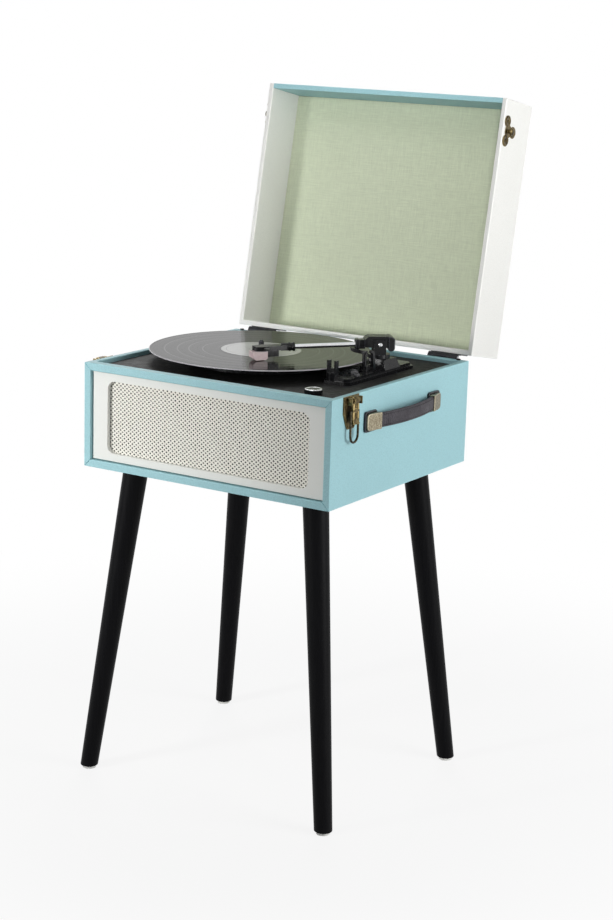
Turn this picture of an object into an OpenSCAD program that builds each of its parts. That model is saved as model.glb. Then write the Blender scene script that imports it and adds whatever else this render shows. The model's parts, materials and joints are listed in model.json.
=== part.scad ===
// Suitcase record player on four splayed legs, with its lid standing open.
// Millimetres, +Z up, the front faces -Y and the floor is at Z = 0.
// Every module is drawn about the middle of the case, then moved so that the middle of
// the whole object's outline on the floor is the origin.

/* [Case] */
// Width of the case, left to right
case_w = 384; // [370:1:440]
// Depth of the case, front to back
case_d = 350; // [340:1:420]
// Height of the case, without its legs and lid
case_h = 140; // [130:1:180]
// Height of the underside of the case above the floor
case_lift = 430; // [300:5:600]
// Thickness of the side, back and bottom boards
board_t = 9; // [7:0.5:12]
// Width of the frame's border round the front
frame_border = 10; // [8:0.5:14]

/* [Front] */
// Depth of the front panel behind the frame's face
panel_recess = 5; // [2:0.5:10]
// Thickness of the front panel
panel_t = 6; // [4:0.5:9]
// Width of the sound opening in the front panel
opening_w = 314; // [260:1:330]
// Height of the sound opening in the front panel
opening_h = 97; // [80:1:102]
// Corner radius of the sound opening
opening_r = 11; // [4:1:20]
// Thickness of the grille cloth and its carrier
cloth_t = 2; // [1:0.5:3]
// Overlap of the grille cloth behind the front panel
cloth_lap = 7; // [4:0.5:9]
// Thickness of the board that carries the speakers
baffle_t = 6; // [4:0.5:9]
// Radius of the speakers' mounting rims
speaker_r = 38; // [30:1:44]
// Depth of a speaker behind its board
speaker_depth = 36; // [28:1:50]
// Distance between the speakers' centres
speaker_spacing = 170; // [120:1:220]

/* [Deck] */
// Depth of the deck below the top of the case
deck_drop = 6; // [3:0.5:8]
// Thickness of the deck board
deck_t = 5; // [4:0.5:8]
// Height of the cleats that carry the deck
cleat_h = 15; // [10:1:20]
// Width of the cleats that carry the deck
cleat_w = 12; // [8:1:18]

/* [Turntable] */
// Radius of the record
record_r = 150.5; // [120:0.5:152]
// Thickness of the record
record_t = 2; // [1.5:0.1:2.6]
// Radius of the record's label
label_r = 54; // [46:1:60]
// Distance of the spindle to the left of the arm's pivot
pivot_span = 157; // [156:1:176]
// Distance of the spindle behind the middle of the case
spindle_back = 4; // [-6:1:12]
// Radius of the spindle where a record fits on it
spindle_r = 3.55; // [3.5:0.01:3.6]
// Length of the spindle's straight end above the record
spindle_free = 10; // [6:0.5:16]
// Radius of the platter
platter_r = 100; // [90:1:130]
// Height of the platter's top above the deck
platter_rise = 14.5; // [13:0.5:18]
// Thickness of the mat on the platter
mat_t = 1.2; // [0.8:0.1:3]
// Radius of the rim under the platter that the belt drives
drive_r = 61; // [45:1:66]
// Radius of the motor pulley
pulley_r = 5; // [4:0.5:8]

/* [Tonearm] */
// Distance of the arm's pivot from the outside of the right wall
pivot_inset = 68; // [60:1:80]
// Distance of the arm's pivot behind the middle of the case
pivot_back = 48; // [30:1:60]
// Height of the arm's lift axis above the deck
pivot_rise = 39; // [37:1:44]
// Radius of the arm tube
tube_r = 3.2; // [2.5:0.1:4]
// Reach of the arm tube from the pivot
tube_reach = 116; // [104:1:128]
// Turn of the tube towards the front from a line to the left
tube_turn = 39; // [34:1:44]
// Swing from the photographed place to the arm rest
park_swing = 47; // [44:1:50]
// Fall of the tube towards its head
tube_fall = 2.7; // [2:0.1:3]
// Turn of the head against the tube
head_offset = 20; // [0:1:26]
// Length of the head
head_l = 46; // [38:1:52]
// Width of the head
head_w = 18; // [14:1:22]
// Width of the arm's base plate
plate_w = 42; // [40:1:50]
// Thickness of the arm's base plate
plate_t = 8; // [6:0.5:9]

/* [Lid] */
// Depth of the lid
lid_depth = 78; // [66:1:100]
// Thickness of the lid's walls and top
lid_t = 7; // [5:0.5:9]
// Lean of the open lid behind upright
lid_lean = 11; // [5:0.5:20]
// Gap between the closed lid and the case
parting_gap = 2; // [1.5:0.25:4]
// Thickness of the lid's lining panel
lining_t = 2; // [1:0.5:4]
// Distance of the hinge pins behind the case
hinge_back = 5; // [4.8:0.1:7]
// Distance of the hinges' middles from the case's sides
hinge_inset = 43; // [40:1:90]
// Length of a hinge
hinge_l = 45; // [27:1:50]
// Radius of a hinge knuckle
knuckle_r = 4; // [3.5:0.1:4.2]

/* [Latches] */
// Distance of the latches behind the front of the case
latch_setback = 43; // [36:1:60]
// Width of a latch plate
latch_w = 36; // [30:1:42]
// Height of a latch plate
latch_h = 42; // [38:1:50]
// Radius of the latch's wire bail
bail_r = 1.5; // [1:0.1:1.6]
// Length of the bail below its pivot
bail_l = 42; // [36:1:48]

/* [Handle] */
// Distance between the middles of the handle's ends
handle_span = 161; // [130:1:180]
// Gap from a latch plate to the handle's front bracket
handle_gap = 14.5; // [8:0.5:30]
// Depth of the handle's centre line below the top of the case
handle_drop = 40; // [34:1:60]
// Height of the handle's strap
strap_h = 19.5; // [16:0.5:21]
// Thickness of the handle's strap
strap_t = 5; // [3:0.5:7]
// Bow of the strap away from the case
strap_bow = 8; // [6:1:24]
// Stand-off of the handle's brackets
bracket_t = 3.5; // [3:0.5:12]

/* [Legs] */
// Radius of a leg at its top
leg_top_r = 17; // [13:0.5:22]
// Radius of a leg at its foot
leg_foot_r = 12; // [10:0.5:16]
// Inset of the legs' tops from the case's sides
leg_inset_x = 50; // [40:1:70]
// Inset of the legs' tops from the case's front and back
leg_inset_y = 49; // [40:1:70]
// Sideways splay of a leg from top to foot
splay_x = 49; // [20:1:60]
// Splay of a leg from top to foot along the case's depth
splay_y = 36; // [15:1:45]
// Height of the glides under the feet
glide_h = 4; // [3:0.5:8]
// Radius of the glides under the feet
glide_r = 9; // [7:0.5:9.5]

/* [Fits] */
// Clearance of a piece dropped into an opening
drop_fit = 0.2; // [0.1:0.05:0.4]
// Radial clearance of a shaft that turns in its bore
run_fit = 0.05; // [0.02:0.01:0.1]
// Clearance between pieces that move past each other
move_gap = 0.4; // [0.3:0.1:0.8]

/* [Hidden] */
$fn = 64;

// Levels and planes of the case
case_top = case_lift + case_h;
front_y = -case_d / 2;
back_y = case_d / 2;
side_x = case_w / 2;
inner_x = side_x - board_t;
panel_front = front_y + panel_recess;
panel_back = panel_front + panel_t;
frame_back = panel_back + cloth_t;
baffle_back = frame_back + baffle_t;
back_inside = back_y - board_t;
floor_inside = case_lift + board_t;
deck_top = case_top - deck_drop;
deck_bottom = deck_top - deck_t;
opening_z = case_lift + case_h / 2;

// Turntable, placed from the arm's pivot so that the arm tracks the record
pivot_x = side_x - pivot_inset;
spindle_x = pivot_x - pivot_span;
spindle_y = spindle_back;
shaft_r = 4;
platter_top = deck_top + platter_rise;
mat_top = platter_top + mat_t;
record_top = mat_top + record_t;
platter_plate_t = 3;
rim_t = 2.8;
skirt_gap = 2.5;
hub_r = 10;
bush_flange_r = 14;
bush_flange_t = 2;
bush_r = 8;
bush_depth = 24;
thrust_t = 3;
groove_l = 0.6;
tip_l = 2.4;
label_t = 0.15;
hole_r = spindle_r + 0.07;
belt_t = 1;
belt_w = 3;
belt_z = deck_top + 4.5;
motor_reach = drive_r + 17;
motor_turn = 135;
motor_x = spindle_x + motor_reach * cos(motor_turn);
motor_y = spindle_y + motor_reach * sin(motor_turn);
motor_r = 16;
motor_h = 24;
motor_shaft_r = 1;

// Tonearm
pivot_y = pivot_back;
pivot_z = deck_top + pivot_rise;
plate_top = deck_top + plate_t;
tube_dir = 180 + tube_turn;
park_dir = tube_dir + park_swing;
plate_front = 110;
plate_rear = 62;
plate_corner = 6;
plate_bevel = 3;
post_r = 10.5;
yoke_drop = 19;
post_top = pivot_z - yoke_drop;
// Left, front, right and back reach of the pivot's housing, at its foot and at its top
housing_foot = [-9, -14, 19, 26];
housing_head = [-7, -11, 15, 20];
housing_gap = 0.5;
// How far the forms on the plate are rooted in it
rooted = 1.5;
pin_r = 5;
pin_l = 9;
turret_r = 15;
turret_t = 5;
turret_hub_r = 8;
block_w = 20;
block_below = 4.5;
block_back = 10.5;
cheek_half = 8;
block_front = 20;
neck_front = 32;
neck_w = 13;
tube_in = 10;
weight_w = 26;
cheek_t = 3;
trunnion_r = 2;
fork_reach = 103;
fork_foot_r = 7;
fork_depth = 10;
fork_gap = 8.5;
prong_t = 3;
fork_d = 6;
fork_top = pivot_z - fork_reach * tan(tube_fall) - tube_r - 1.2;
collar_r = 5;
collar_l = 14;
tube_socket = 4;
head_h = 6;
cartridge_l = 16;
cartridge_w = 12;
cartridge_set = 13;
cartridge_lift = 4;
guard_w = 13;
guard_past = 4.5;
stylus_gap = 0.5;
head_z = pivot_z - (tube_reach + collar_l / 2) * sin(tube_fall);
lift_r = 36;
lift_bar_t = 4;
lift_bar_h = 4;
lift_post_r = 3;
lift_post_dir = 270;
lift_boss_r = 6;
lift_boss_h = 6;
lift_past = 10;
lift_before = 14;
lift_top = pivot_z - lift_r * tan(tube_fall) - tube_r - 0.6;
cue_inset = 5;
cue_front = 44;
cue_rise = 7;
cue_x = pivot_x + plate_w / 2 - cue_inset;
cue_y = pivot_y - cue_front;
cue_z = plate_top + cue_rise;
cue_pin_r = 2;
cue_cheek_t = 4;
cue_l = 24;
switch_z = plate_top - 2;
speed_place = [1, -62];
speed_at = [pivot_x + speed_place[0], pivot_y + speed_place[1]];
speed_size = [6, 9, 7];
speed_travel = 12;
stop_place = [12, -74];
stop_at = [pivot_x + stop_place[0], pivot_y + stop_place[1]];
stop_size = [5, 8, 6];
stop_travel = 6;

// Volume control
knob_inset = 52;
knob_setback = 26;
knob_x = side_x - knob_inset;
knob_y = frame_back + knob_setback;
knob_r = 11;
knob_h = 7;
knob_rise = 1.2;
knob_shaft_r = 3;
knob_shaft_l = 10;
pot_w = 18;
pot_h = 11;
pot_bush_r = 4.5;

// Lid, drawn closed and then turned about its hinge pins
lid_low = case_top + parting_gap;
lid_high = lid_low + lid_depth;
hinge_y = back_y + hinge_back;
hinge_z = case_top + parting_gap / 2;
lid_turn = 90 + lid_lean;
leaf_t = 1.5;
leaf_l = 24;
leaf_gap = 0.6;
hinge_pin_r = 2;
knuckle_gap = 0.3;
bumper_r = 3;
bumper_inset = 14;
bumper_h = parting_gap - 0.3;

// Latches and strikes
latch_y = front_y + latch_setback;
latch_t = 1.5;
lever_out = 6.5;
lever_w = 14;
lever_t = 3;
roll_r = 4.5;
lever_l = 30.5;
lever_z = case_top - 4.5;
ear_gap = 10.6;
ear_t = 1.8;
lever_pin_r = 1.5;
bail_half = 8.8;
bail_drop = 13.5;
// Metal left round the bail's ends in the lever's eye
eye_wall = 1.2;
elbow_r = bail_r + 0.1;
strike_t = 1;
strike_lobe_r = 8;
strike_spread = 13;
strike_rise = 14;
strike_z = lid_low + strike_lobe_r + 2;
strike_post_r = 3;
strike_head_r = 5;
strike_post_l = 5;
strike_head_t = 1.5;

// Handle
handle_z = case_top - handle_drop;
bracket_w = 29;
bracket_h = 27;
cap_w = 26;
cap_h = 21.5;
cap_t = 2.5;
cap_high = 8;
handle_y = latch_y + latch_w / 2 + handle_gap + (bracket_w + handle_span) / 2;
strap_chord = handle_span - cap_w;
strap_arc_r = (strap_chord * strap_chord / 4 + strap_bow * strap_bow) / (2 * strap_bow);
strap_arc = asin((strap_chord / 2 - drop_fit) / (strap_arc_r + strap_t));

// Legs
leg_top_x = side_x - leg_inset_x;
leg_top_y = case_d / 2 - leg_inset_y;
mount_t = 4;
mount_w = 64;
leg_top_z = case_lift - mount_t;
bolt_r = 4;
bolt_in = 30;
bolt_out = 15;
nail_r = 1.5;
nail_l = 14;
screw_r = 2;
screw_head_r = 4;
screw_head_t = 2;
screw_l = 9;
screw_spread = 25;
LEG_SIDES = 48;
LEG_SIGNS = [[-1, -1], [1, -1], [1, 1], [-1, 1]];

// Back panel and its sockets
rear_w = 110;
rear_h = 46;
rear_t = 2;
rear_z = case_lift + case_h * 0.55;
rear_lip = 6;
aux_x = -38;
line_x = [-12, 8];
power_x = 36;
aux_r = 1.8;
aux_l = 14;
line_r = 4.15;
line_l = 9;
line_core_r = 1.6;
line_neck_l = 0.6;
line_neck_r = 3.9;
power_r = 2.8;
power_l = 10;
socket_body = 11;

// Circuit board
board_size = [90, 60, 1.6];
board_at = [-30, 40];
standoff_h = 8;
standoff_r = 3.5;
standoff_inset = 6;
chip_size = [24, 20, 14];
can_r = 5;
can_h = 16;
can_x = 26;
can_spacing = 16;

// Middle of the whole outline, with the lid open
left_reach = side_x + lever_out + roll_r;
right_reach = side_x + bracket_t + (cap_high + strap_t) / 2 + strap_bow;
lid_back_reach = hinge_y + (case_d + hinge_back) * sin(lid_lean) + (lid_high - hinge_z) * cos(lid_lean);
middle_x = (right_reach - left_reach) / 2;
middle_y = (lid_back_reach + front_y) / 2;

TEAL = [0.62, 0.80, 0.84];
CREAM = [0.92, 0.92, 0.89];
BLACK = [0.07, 0.07, 0.08];
BRASS = [0.50, 0.44, 0.28];
STEEL = [0.75, 0.75, 0.76];
BOARD = [0.62, 0.50, 0.36];

// Moves a piece from the middle of the case to the middle of the whole outline
module placed() {
    translate([-middle_x, -middle_y, 0]) children();
}

// Box between two corners
module box(low, high) {
    translate(low) cube(high - low);
}

// Round bar along an axis, from one place to the next
module bar_x(r, x0, x1, y, z) {
    translate([x0, y, z]) rotate([0, 90, 0]) cylinder(r = r, h = x1 - x0);
}
module bar_y(r, x, y0, y1, z) {
    translate([x, y0, z]) rotate([-90, 0, 0]) cylinder(r = r, h = y1 - y0);
}
module bar_z(r, x, y, z0, z1) {
    translate([x, y, z0]) cylinder(r = r, h = z1 - z0);
}

// Flat rectangle with round corners, about its middle
module rounded(w, h, r) {
    union() {
        square([w - 2 * r, h], center = true);
        square([w, h - 2 * r], center = true);
        for (sx = [-1, 1], sy = [-1, 1])
            translate([sx * (w / 2 - r), sy * (h / 2 - r)]) circle(r = r);
    }
}

// Plate with round corners that stands upright and faces the front
module upright(w, h, r, y0, y1, z) {
    translate([0, y1, z]) rotate([90, 0, 0]) linear_extrude(y1 - y0) rounded(w, h, r);
}

// Sides and back of the case, glued into one open box
module case_shell() {
    color(TEAL) difference() {
        box([-side_x, frame_back, case_lift], [side_x, back_y, case_top]);
        box([-inner_x, frame_back - 1, case_lift - 1], [inner_x, back_inside, case_top + 1]);
        box([-rear_w / 2 + rear_lip, back_inside - 1, rear_z - rear_h / 2 + rear_lip],
            [rear_w / 2 - rear_lip, back_y + 1, rear_z + rear_h / 2 - rear_lip]);
    }
}

module front_frame() {
    color(TEAL) difference() {
        box([-side_x, front_y, case_lift], [side_x, frame_back, case_top]);
        box([-side_x + frame_border, front_y - 1, case_lift + frame_border],
            [side_x - frame_border, frame_back + 1, case_top - frame_border]);
    }
}

module bottom_board() {
    color(BOARD) difference() {
        box([-inner_x, frame_back, case_lift], [inner_x, back_inside, floor_inside]);
        for (s = LEG_SIGNS) {
            leg_top(s) cylinder(r = bolt_r + drop_fit, h = 4 * board_t, center = true);
            screw_places(s) cylinder(r = screw_r + run_fit, h = 4 * board_t, center = true);
        }
    }
}

module deck_cleats() {
    color(BOARD) for (s = [-1, 1])
        box([s > 0 ? inner_x - cleat_w : -inner_x, baffle_back, deck_bottom - cleat_h],
            [s > 0 ? inner_x : cleat_w - inner_x, back_inside, deck_bottom]);
}

module deck_board() {
    color(BLACK) difference() {
        box([-inner_x + drop_fit, frame_back + drop_fit, deck_bottom],
            [inner_x - drop_fit, back_inside - drop_fit, deck_top]);
        bar_z(bush_r + drop_fit, spindle_x, spindle_y, deck_bottom - 1, deck_top + 1);
        bar_z(pulley_r + 2, motor_x, motor_y, deck_bottom - 1, deck_top + 1);
        bar_z(pot_bush_r + drop_fit, knob_x, knob_y, deck_bottom - 1, deck_top + 1);
    }
}

module front_panel() {
    color(CREAM) difference() {
        upright(case_w - 2 * frame_border - 2 * drop_fit, case_h - 2 * frame_border - 2 * drop_fit,
                2, panel_front, panel_back, opening_z);
        upright(opening_w, opening_h, opening_r, panel_front - 1, panel_back + 1, opening_z);
    }
}

module grille_cloth() {
    color([0.80, 0.78, 0.72])
        upright(opening_w + 2 * cloth_lap, opening_h + 2 * cloth_lap, opening_r,
                panel_back, frame_back, opening_z);
}

module speaker_baffle() {
    color(BLACK) difference() {
        box([-inner_x, frame_back, floor_inside], [inner_x, baffle_back, deck_bottom]);
        for (s = [-1, 1])
            bar_y(speaker_r - 5, s * speaker_spacing / 2, frame_back - 1, baffle_back + 1, opening_z);
    }
}

// Turns a profile of radius and height so that its height runs to the back
module speaker_place(s) {
    translate([s * speaker_spacing / 2, baffle_back, opening_z]) rotate([-90, 0, 0]) children();
}

module speaker_baskets() {
    color(STEEL) for (s = [-1, 1]) speaker_place(s) rotate_extrude()
        polygon([[speaker_r - 6, 0], [speaker_r, 0], [speaker_r, 2], [speaker_r - 4, 2],
                 [speaker_r * 0.62, speaker_depth * 0.55], [speaker_r * 0.62, speaker_depth],
                 [0, speaker_depth], [0, speaker_depth * 0.62], [speaker_r * 0.5, speaker_depth * 0.55],
                 [speaker_r - 7, 2]]);
}

module speaker_cones() {
    color(BLACK) for (s = [-1, 1]) speaker_place(s) rotate_extrude()
        polygon([[0, speaker_depth * 0.45], [speaker_r * 0.45, speaker_depth * 0.5],
                 [speaker_r - 8, 1], [speaker_r - 6 - move_gap, 0], [speaker_r - 8, 0],
                 [speaker_r * 0.3, speaker_depth * 0.4], [0, speaker_depth * 0.36]]);
}

// Bearing that carries the platter's spindle, closed below by a thrust pad
module bearing_bush() {
    color(BRASS) translate([spindle_x, spindle_y, deck_top]) difference() {
        union() {
            cylinder(r = bush_flange_r, h = bush_flange_t);
            translate([0, 0, -bush_depth]) cylinder(r = bush_r, h = bush_depth);
        }
        translate([0, 0, -bush_depth + thrust_t])
            cylinder(r = shaft_r + run_fit, h = bush_depth + bush_flange_t);
    }
}

module spindle() {
    shaft_low = deck_top - bush_depth + thrust_t + 0.3;
    groove_z = record_top + label_t;
    end_z = groove_z + groove_l;
    color(STEEL) translate([spindle_x, spindle_y, 0]) {
        bar_z(shaft_r, 0, 0, shaft_low, mat_top);
        bar_z(spindle_r, 0, 0, mat_top, groove_z);
        bar_z(spindle_r - 0.25, 0, 0, groove_z, end_z);
        bar_z(spindle_r, 0, 0, end_z, end_z + spindle_free);
        translate([0, 0, end_z + spindle_free])
            cylinder(r1 = spindle_r, r2 = spindle_r * 0.45, h = tip_l);
    }
}

module platter() {
    low = -platter_rise + skirt_gap;
    under = -platter_plate_t;
    color(BLACK) translate([spindle_x, spindle_y, platter_top]) rotate_extrude()
        polygon([[shaft_r + run_fit, low], [hub_r, low], [hub_r, under], [drive_r - rim_t, under],
                 [drive_r - rim_t, low], [drive_r, low], [drive_r, under],
                 [platter_r - rim_t, under], [platter_r - rim_t, low], [platter_r, low],
                 [platter_r, -0.8], [platter_r - 0.8, 0], [shaft_r + run_fit, 0]]);
}

// Flat ring round the spindle, with its lower face at z
module disc(outer, inner, z, t) {
    translate([spindle_x, spindle_y, z]) difference() {
        cylinder(r = outer, h = t);
        translate([0, 0, -1]) cylinder(r = inner, h = t + 2);
    }
}

module platter_mat() {
    color([0.13, 0.13, 0.14]) disc(platter_r - 2, shaft_r + drop_fit, platter_top, mat_t);
}

module record() {
    color(BLACK) disc(record_r, hole_r, mat_top, record_t);
}

module record_label() {
    color([0.70, 0.70, 0.70]) disc(label_r, hole_r, record_top, label_t);
}

module motor() {
    color(STEEL) difference() {
        bar_z(motor_r, motor_x, motor_y, deck_bottom - motor_h, deck_bottom);
        bar_z(motor_shaft_r + run_fit, motor_x, motor_y, deck_bottom - motor_h / 2, deck_bottom + 1);
    }
}

module motor_pulley() {
    color(BRASS) {
        bar_z(motor_shaft_r, motor_x, motor_y, deck_bottom - motor_h / 2 + move_gap, belt_z);
        bar_z(pulley_r, motor_x, motor_y, belt_z - 1, belt_z + belt_w);
        bar_z(pulley_r + 1.5, motor_x, motor_y, belt_z - 2, belt_z - 1);
    }
}

// Outline of the belt, this far outside the two wheels that it runs on
module belt_outline(out) {
    hull() {
        translate([spindle_x, spindle_y]) circle(r = drive_r + out);
        translate([motor_x, motor_y]) circle(r = pulley_r + out);
    }
}

module drive_belt() {
    color([0.15, 0.14, 0.13]) translate([0, 0, belt_z]) linear_extrude(belt_w - 0.4) difference() {
        belt_outline(move_gap + belt_t);
        belt_outline(move_gap);
    }
}

// Outline of the arm's base plate about the pivot, drawn in by a bevel
module plate_outline(inset) {
    w = plate_w / 2 - inset;
    f = -plate_front + inset;
    b = plate_rear - inset;
    c = plate_corner;
    polygon([[-w, f + c], [-w + c, f], [w - c, f], [w, f + c],
             [w, b - c], [w - c, b], [c - w, b], [-w, b - c]]);
}

// Block with sloping sides between two level rectangles, each given as left, front, right and back
module frustum(foot, head, z0, z1) {
    polyhedron([[foot[0], foot[1], z0], [foot[2], foot[1], z0],
                [foot[2], foot[3], z0], [foot[0], foot[3], z0],
                [head[0], head[1], z1], [head[2], head[1], z1],
                [head[2], head[3], z1], [head[0], head[3], z1]],
               [[0, 1, 2, 3], [7, 6, 5, 4], [0, 4, 5, 1], [1, 5, 6, 2], [2, 6, 7, 3], [3, 7, 4, 0]]);
}

// Place of the arm's head and tube in a swung direction
module arm_place(dir) {
    translate([pivot_x, pivot_y, pivot_z]) rotate([0, 0, dir]) children();
}

// Base plate with the bearing post, the arm rest's fork and the cue lever's cheek moulded on
module tonearm_plate() {
    lift_at = [pivot_x + lift_r * cos(lift_post_dir), pivot_y + lift_r * sin(lift_post_dir)];
    color(BLACK) difference() {
        union() {
            translate([pivot_x, pivot_y, deck_top]) {
                linear_extrude(plate_t / 2) plate_outline(0);
                translate([0, 0, plate_t / 2]) linear_extrude(plate_t / 2) plate_outline(plate_bevel);
            }
            translate([pivot_x, pivot_y, 0])
                frustum(housing_foot, housing_head, plate_top - rooted, post_top - housing_gap);
            bar_z(post_r, pivot_x, pivot_y, plate_top, post_top);
            bar_z(pin_r, pivot_x, pivot_y, post_top, post_top + pin_l);
            bar_z(lift_boss_r, lift_at[0], lift_at[1], plate_top, plate_top + lift_boss_h);
            box([cue_x - cue_cheek_t, cue_y - 4, plate_top], [cue_x, cue_y + 4, cue_z + 4]);
            arm_place(park_dir) translate([fork_reach, 0, -pivot_z]) {
                for (s = [-1, 1])
                    box([-fork_d / 2, s > 0 ? fork_gap / 2 : -fork_gap / 2 - prong_t, plate_top],
                        [fork_d / 2, s > 0 ? fork_gap / 2 + prong_t : -fork_gap / 2, fork_top]);
                box([-fork_d / 2, -fork_gap / 2 - prong_t, plate_top],
                    [fork_d / 2, fork_gap / 2 + prong_t, fork_top - fork_depth]);
                bar_z(fork_foot_r, 0, 0, deck_top + plate_t / 2 - rooted,
                      (plate_top + fork_top - fork_depth) / 2);
            }
        }
        bar_z(lift_post_r + run_fit, lift_at[0], lift_at[1], deck_top - 1, plate_top + lift_boss_h + 1);
        bar_x(cue_pin_r + run_fit, cue_x - cue_cheek_t - 1, cue_x + 1, cue_y, cue_z);
        switch_slot(speed_at, speed_size, speed_travel);
        switch_slot(stop_at, stop_size, stop_travel);
    }
}

// Slot that a sliding switch runs in
module switch_slot(at, size, travel) {
    box([at[0] - size[0] / 2 - drop_fit, at[1] - size[1] / 2 - drop_fit, switch_z - move_gap],
        [at[0] + size[0] / 2 + drop_fit, at[1] + size[1] / 2 + travel + drop_fit, plate_top + 1]);
}

// Turret that swings on the plate's pin and carries the lift axis between its cheeks
module arm_turret() {
    low = post_top - pivot_z + move_gap;
    color(BLACK) arm_place(tube_dir) difference() {
        union() {
            translate([0, 0, low]) cylinder(r = turret_r, h = turret_t);
            translate([0, 0, low]) cylinder(r = turret_hub_r, h = pin_l + 2.5);
            for (s = [-1, 1])
                box([-cheek_half, s > 0 ? block_w / 2 + move_gap : -block_w / 2 - move_gap - cheek_t, low],
                    [cheek_half, s > 0 ? block_w / 2 + move_gap + cheek_t : -block_w / 2 - move_gap, 6]);
        }
        translate([0, 0, low - 1]) cylinder(r = pin_r + run_fit, h = pin_l + 1.2);
        bar_y(trunnion_r + run_fit, 0, -block_w, block_w, 0);
    }
}

// Block that tilts between the turret's cheeks and holds the tube
module arm_block() {
    color(BLACK) arm_place(tube_dir) difference() {
        union() {
            translate([0, block_w / 2, 0]) rotate([90, 0, 0]) linear_extrude(block_w)
                polygon([[-block_back, -block_below], [14, -block_below],
                         [block_front, -3.8], [block_front, 6.5],
                         [15, 10.5], [-block_back, 10.5]]);
            translate([0, neck_w / 2, 0]) rotate([90, 0, 0]) linear_extrude(neck_w)
                polygon([[block_front - 1, -6.5], [neck_front, -6.9],
                         [neck_front, 5.1], [block_front - 1, 5.6]]);
            bar_y(trunnion_r, 0, -block_w / 2 - move_gap - cheek_t, block_w / 2 + move_gap + cheek_t, 0);
        }
        rotate([0, tube_fall, 0]) bar_x(tube_r + run_fit, tube_in, neck_front + block_front, 0, 0);
    }
}

// Angular weight behind the block that balances the head
module counterweight() {
    color(BLACK) arm_place(tube_dir) translate([-block_back - drop_fit, weight_w / 2, 0]) rotate([90, 0, 0])
        linear_extrude(weight_w)
            polygon([[0, -5], [0, 10.5], [-4.5, 10.5], [-9, 8], [-9, -6], [-6, -9], [-1.5, -9]]);
}

module arm_tube() {
    color([0.85, 0.85, 0.86]) arm_place(tube_dir) rotate([0, tube_fall, 0]) difference() {
        bar_x(tube_r, tube_in + drop_fit, tube_reach, 0, 0);
        bar_x(tube_r - 0.8, tube_in - 1, tube_reach + 1, 0, 0);
    }
}

// Place of the head at the end of the tube, level and turned by its offset
module head_place() {
    arm_place(tube_dir)
        translate([tube_reach + collar_l / 2, 0, head_z - pivot_z]) rotate([0, 0, head_offset]) children();
}

// Collar on the tube with the tapered head and its finger lift
module headshell() {
    nose = head_w * 0.36;
    color(BLACK) difference() {
        union() {
            arm_place(tube_dir) rotate([0, tube_fall, 0])
                bar_x(collar_r, tube_reach - tube_socket, tube_reach + collar_l, 0, 0);
            head_place() translate([0, 0, -head_h / 2]) {
                linear_extrude(head_h)
                    polygon([[0, -5], [12, -6.5], [head_l - 16, -head_w / 2],
                             [head_l - 8, -head_w / 2], [head_l, -nose],
                             [head_l, nose], [head_l - 8, head_w / 2],
                             [head_l - 16, head_w / 2], [12, 6.5], [0, 5]]);
                translate([head_l - 14, head_w / 2, head_h - 3])
                    linear_extrude(2) polygon([[-4, -1], [4, -1], [7, 7], [4, 11], [1, 11], [0, 6]]);
            }
        }
        arm_place(tube_dir) rotate([0, tube_fall, 0]) bar_x(tube_r + run_fit, 0, tube_reach, 0, 0);
    }
}

module cartridge() {
    low = record_top + stylus_gap + cartridge_lift - head_z;
    color(BLACK) head_place()
        box([cartridge_set, -cartridge_w / 2, low],
            [cartridge_set + cartridge_l, cartridge_w / 2, -head_h / 2]);
}

// Clear guard round the stylus, in front of the cartridge and under the head's nose
module stylus_guard() {
    low = record_top + stylus_gap - head_z;
    start = cartridge_set + cartridge_l + drop_fit;
    color([0.85, 0.66, 0.68]) head_place() translate([0, guard_w / 2, 0]) rotate([90, 0, 0])
        linear_extrude(guard_w)
            polygon([[start, -head_h / 2], [start, low + 2], [start + 3, low], [head_l, low],
                     [head_l + guard_past, low + 4], [head_l + guard_past, -head_h / 2]]);
}

module cue_lever() {
    color(BLACK) {
        bar_x(cue_pin_r, cue_x - cue_cheek_t, cue_x + move_gap + 4, cue_y, cue_z);
        translate([cue_x + move_gap, cue_y, cue_z]) rotate([90, 0, 90]) linear_extrude(4)
            polygon([[-3, -3], [3, -3], [3, 2], [0, cue_l - 6], [-2, cue_l - 2], [-8, cue_l],
                     [-9, cue_l - 3], [-5, cue_l - 5], [-3, 2]]);
    }
}

// Curved bar under the tube, on a post that rises out of the plate
module lift_bar() {
    at = [pivot_x + lift_r * cos(lift_post_dir), pivot_y + lift_r * sin(lift_post_dir)];
    first_dir = tube_dir - lift_before;
    color(BLACK) {
        translate([pivot_x, pivot_y, lift_top - lift_bar_h]) rotate([0, 0, first_dir])
            rotate_extrude(angle = park_dir + lift_past - first_dir)
                translate([lift_r - lift_bar_t / 2, 0]) square([lift_bar_t, lift_bar_h]);
        bar_z(lift_post_r, at[0], at[1], deck_top + move_gap, lift_top - lift_bar_h / 2);
    }
}

// Sliding cap with a thumb ridge
module switch_cap(at, size) {
    color([0.45, 0.45, 0.46]) translate([at[0], at[1], switch_z]) {
        translate([-size[0] / 2, -size[1] / 2, 0]) cube([size[0], size[1], size[2] - 2]);
        translate([-size[0] / 2, -1, 0]) cube([size[0], 2, size[2]]);
    }
}

module speed_switch() {
    switch_cap(speed_at, speed_size);
}

module stop_switch() {
    switch_cap(stop_at, stop_size);
}

module volume_knob() {
    low = deck_top + knob_rise;
    color(STEEL) translate([knob_x, knob_y, 0]) {
        rotate_extrude()
            polygon([[0, low], [knob_r, low], [knob_r - 0.8, low + knob_h - 1.6],
                     [knob_r - 2.2, low + knob_h], [0, low + knob_h]]);
        bar_z(knob_shaft_r, 0, 0, low - knob_shaft_l, low + 1);
    }
}

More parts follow.
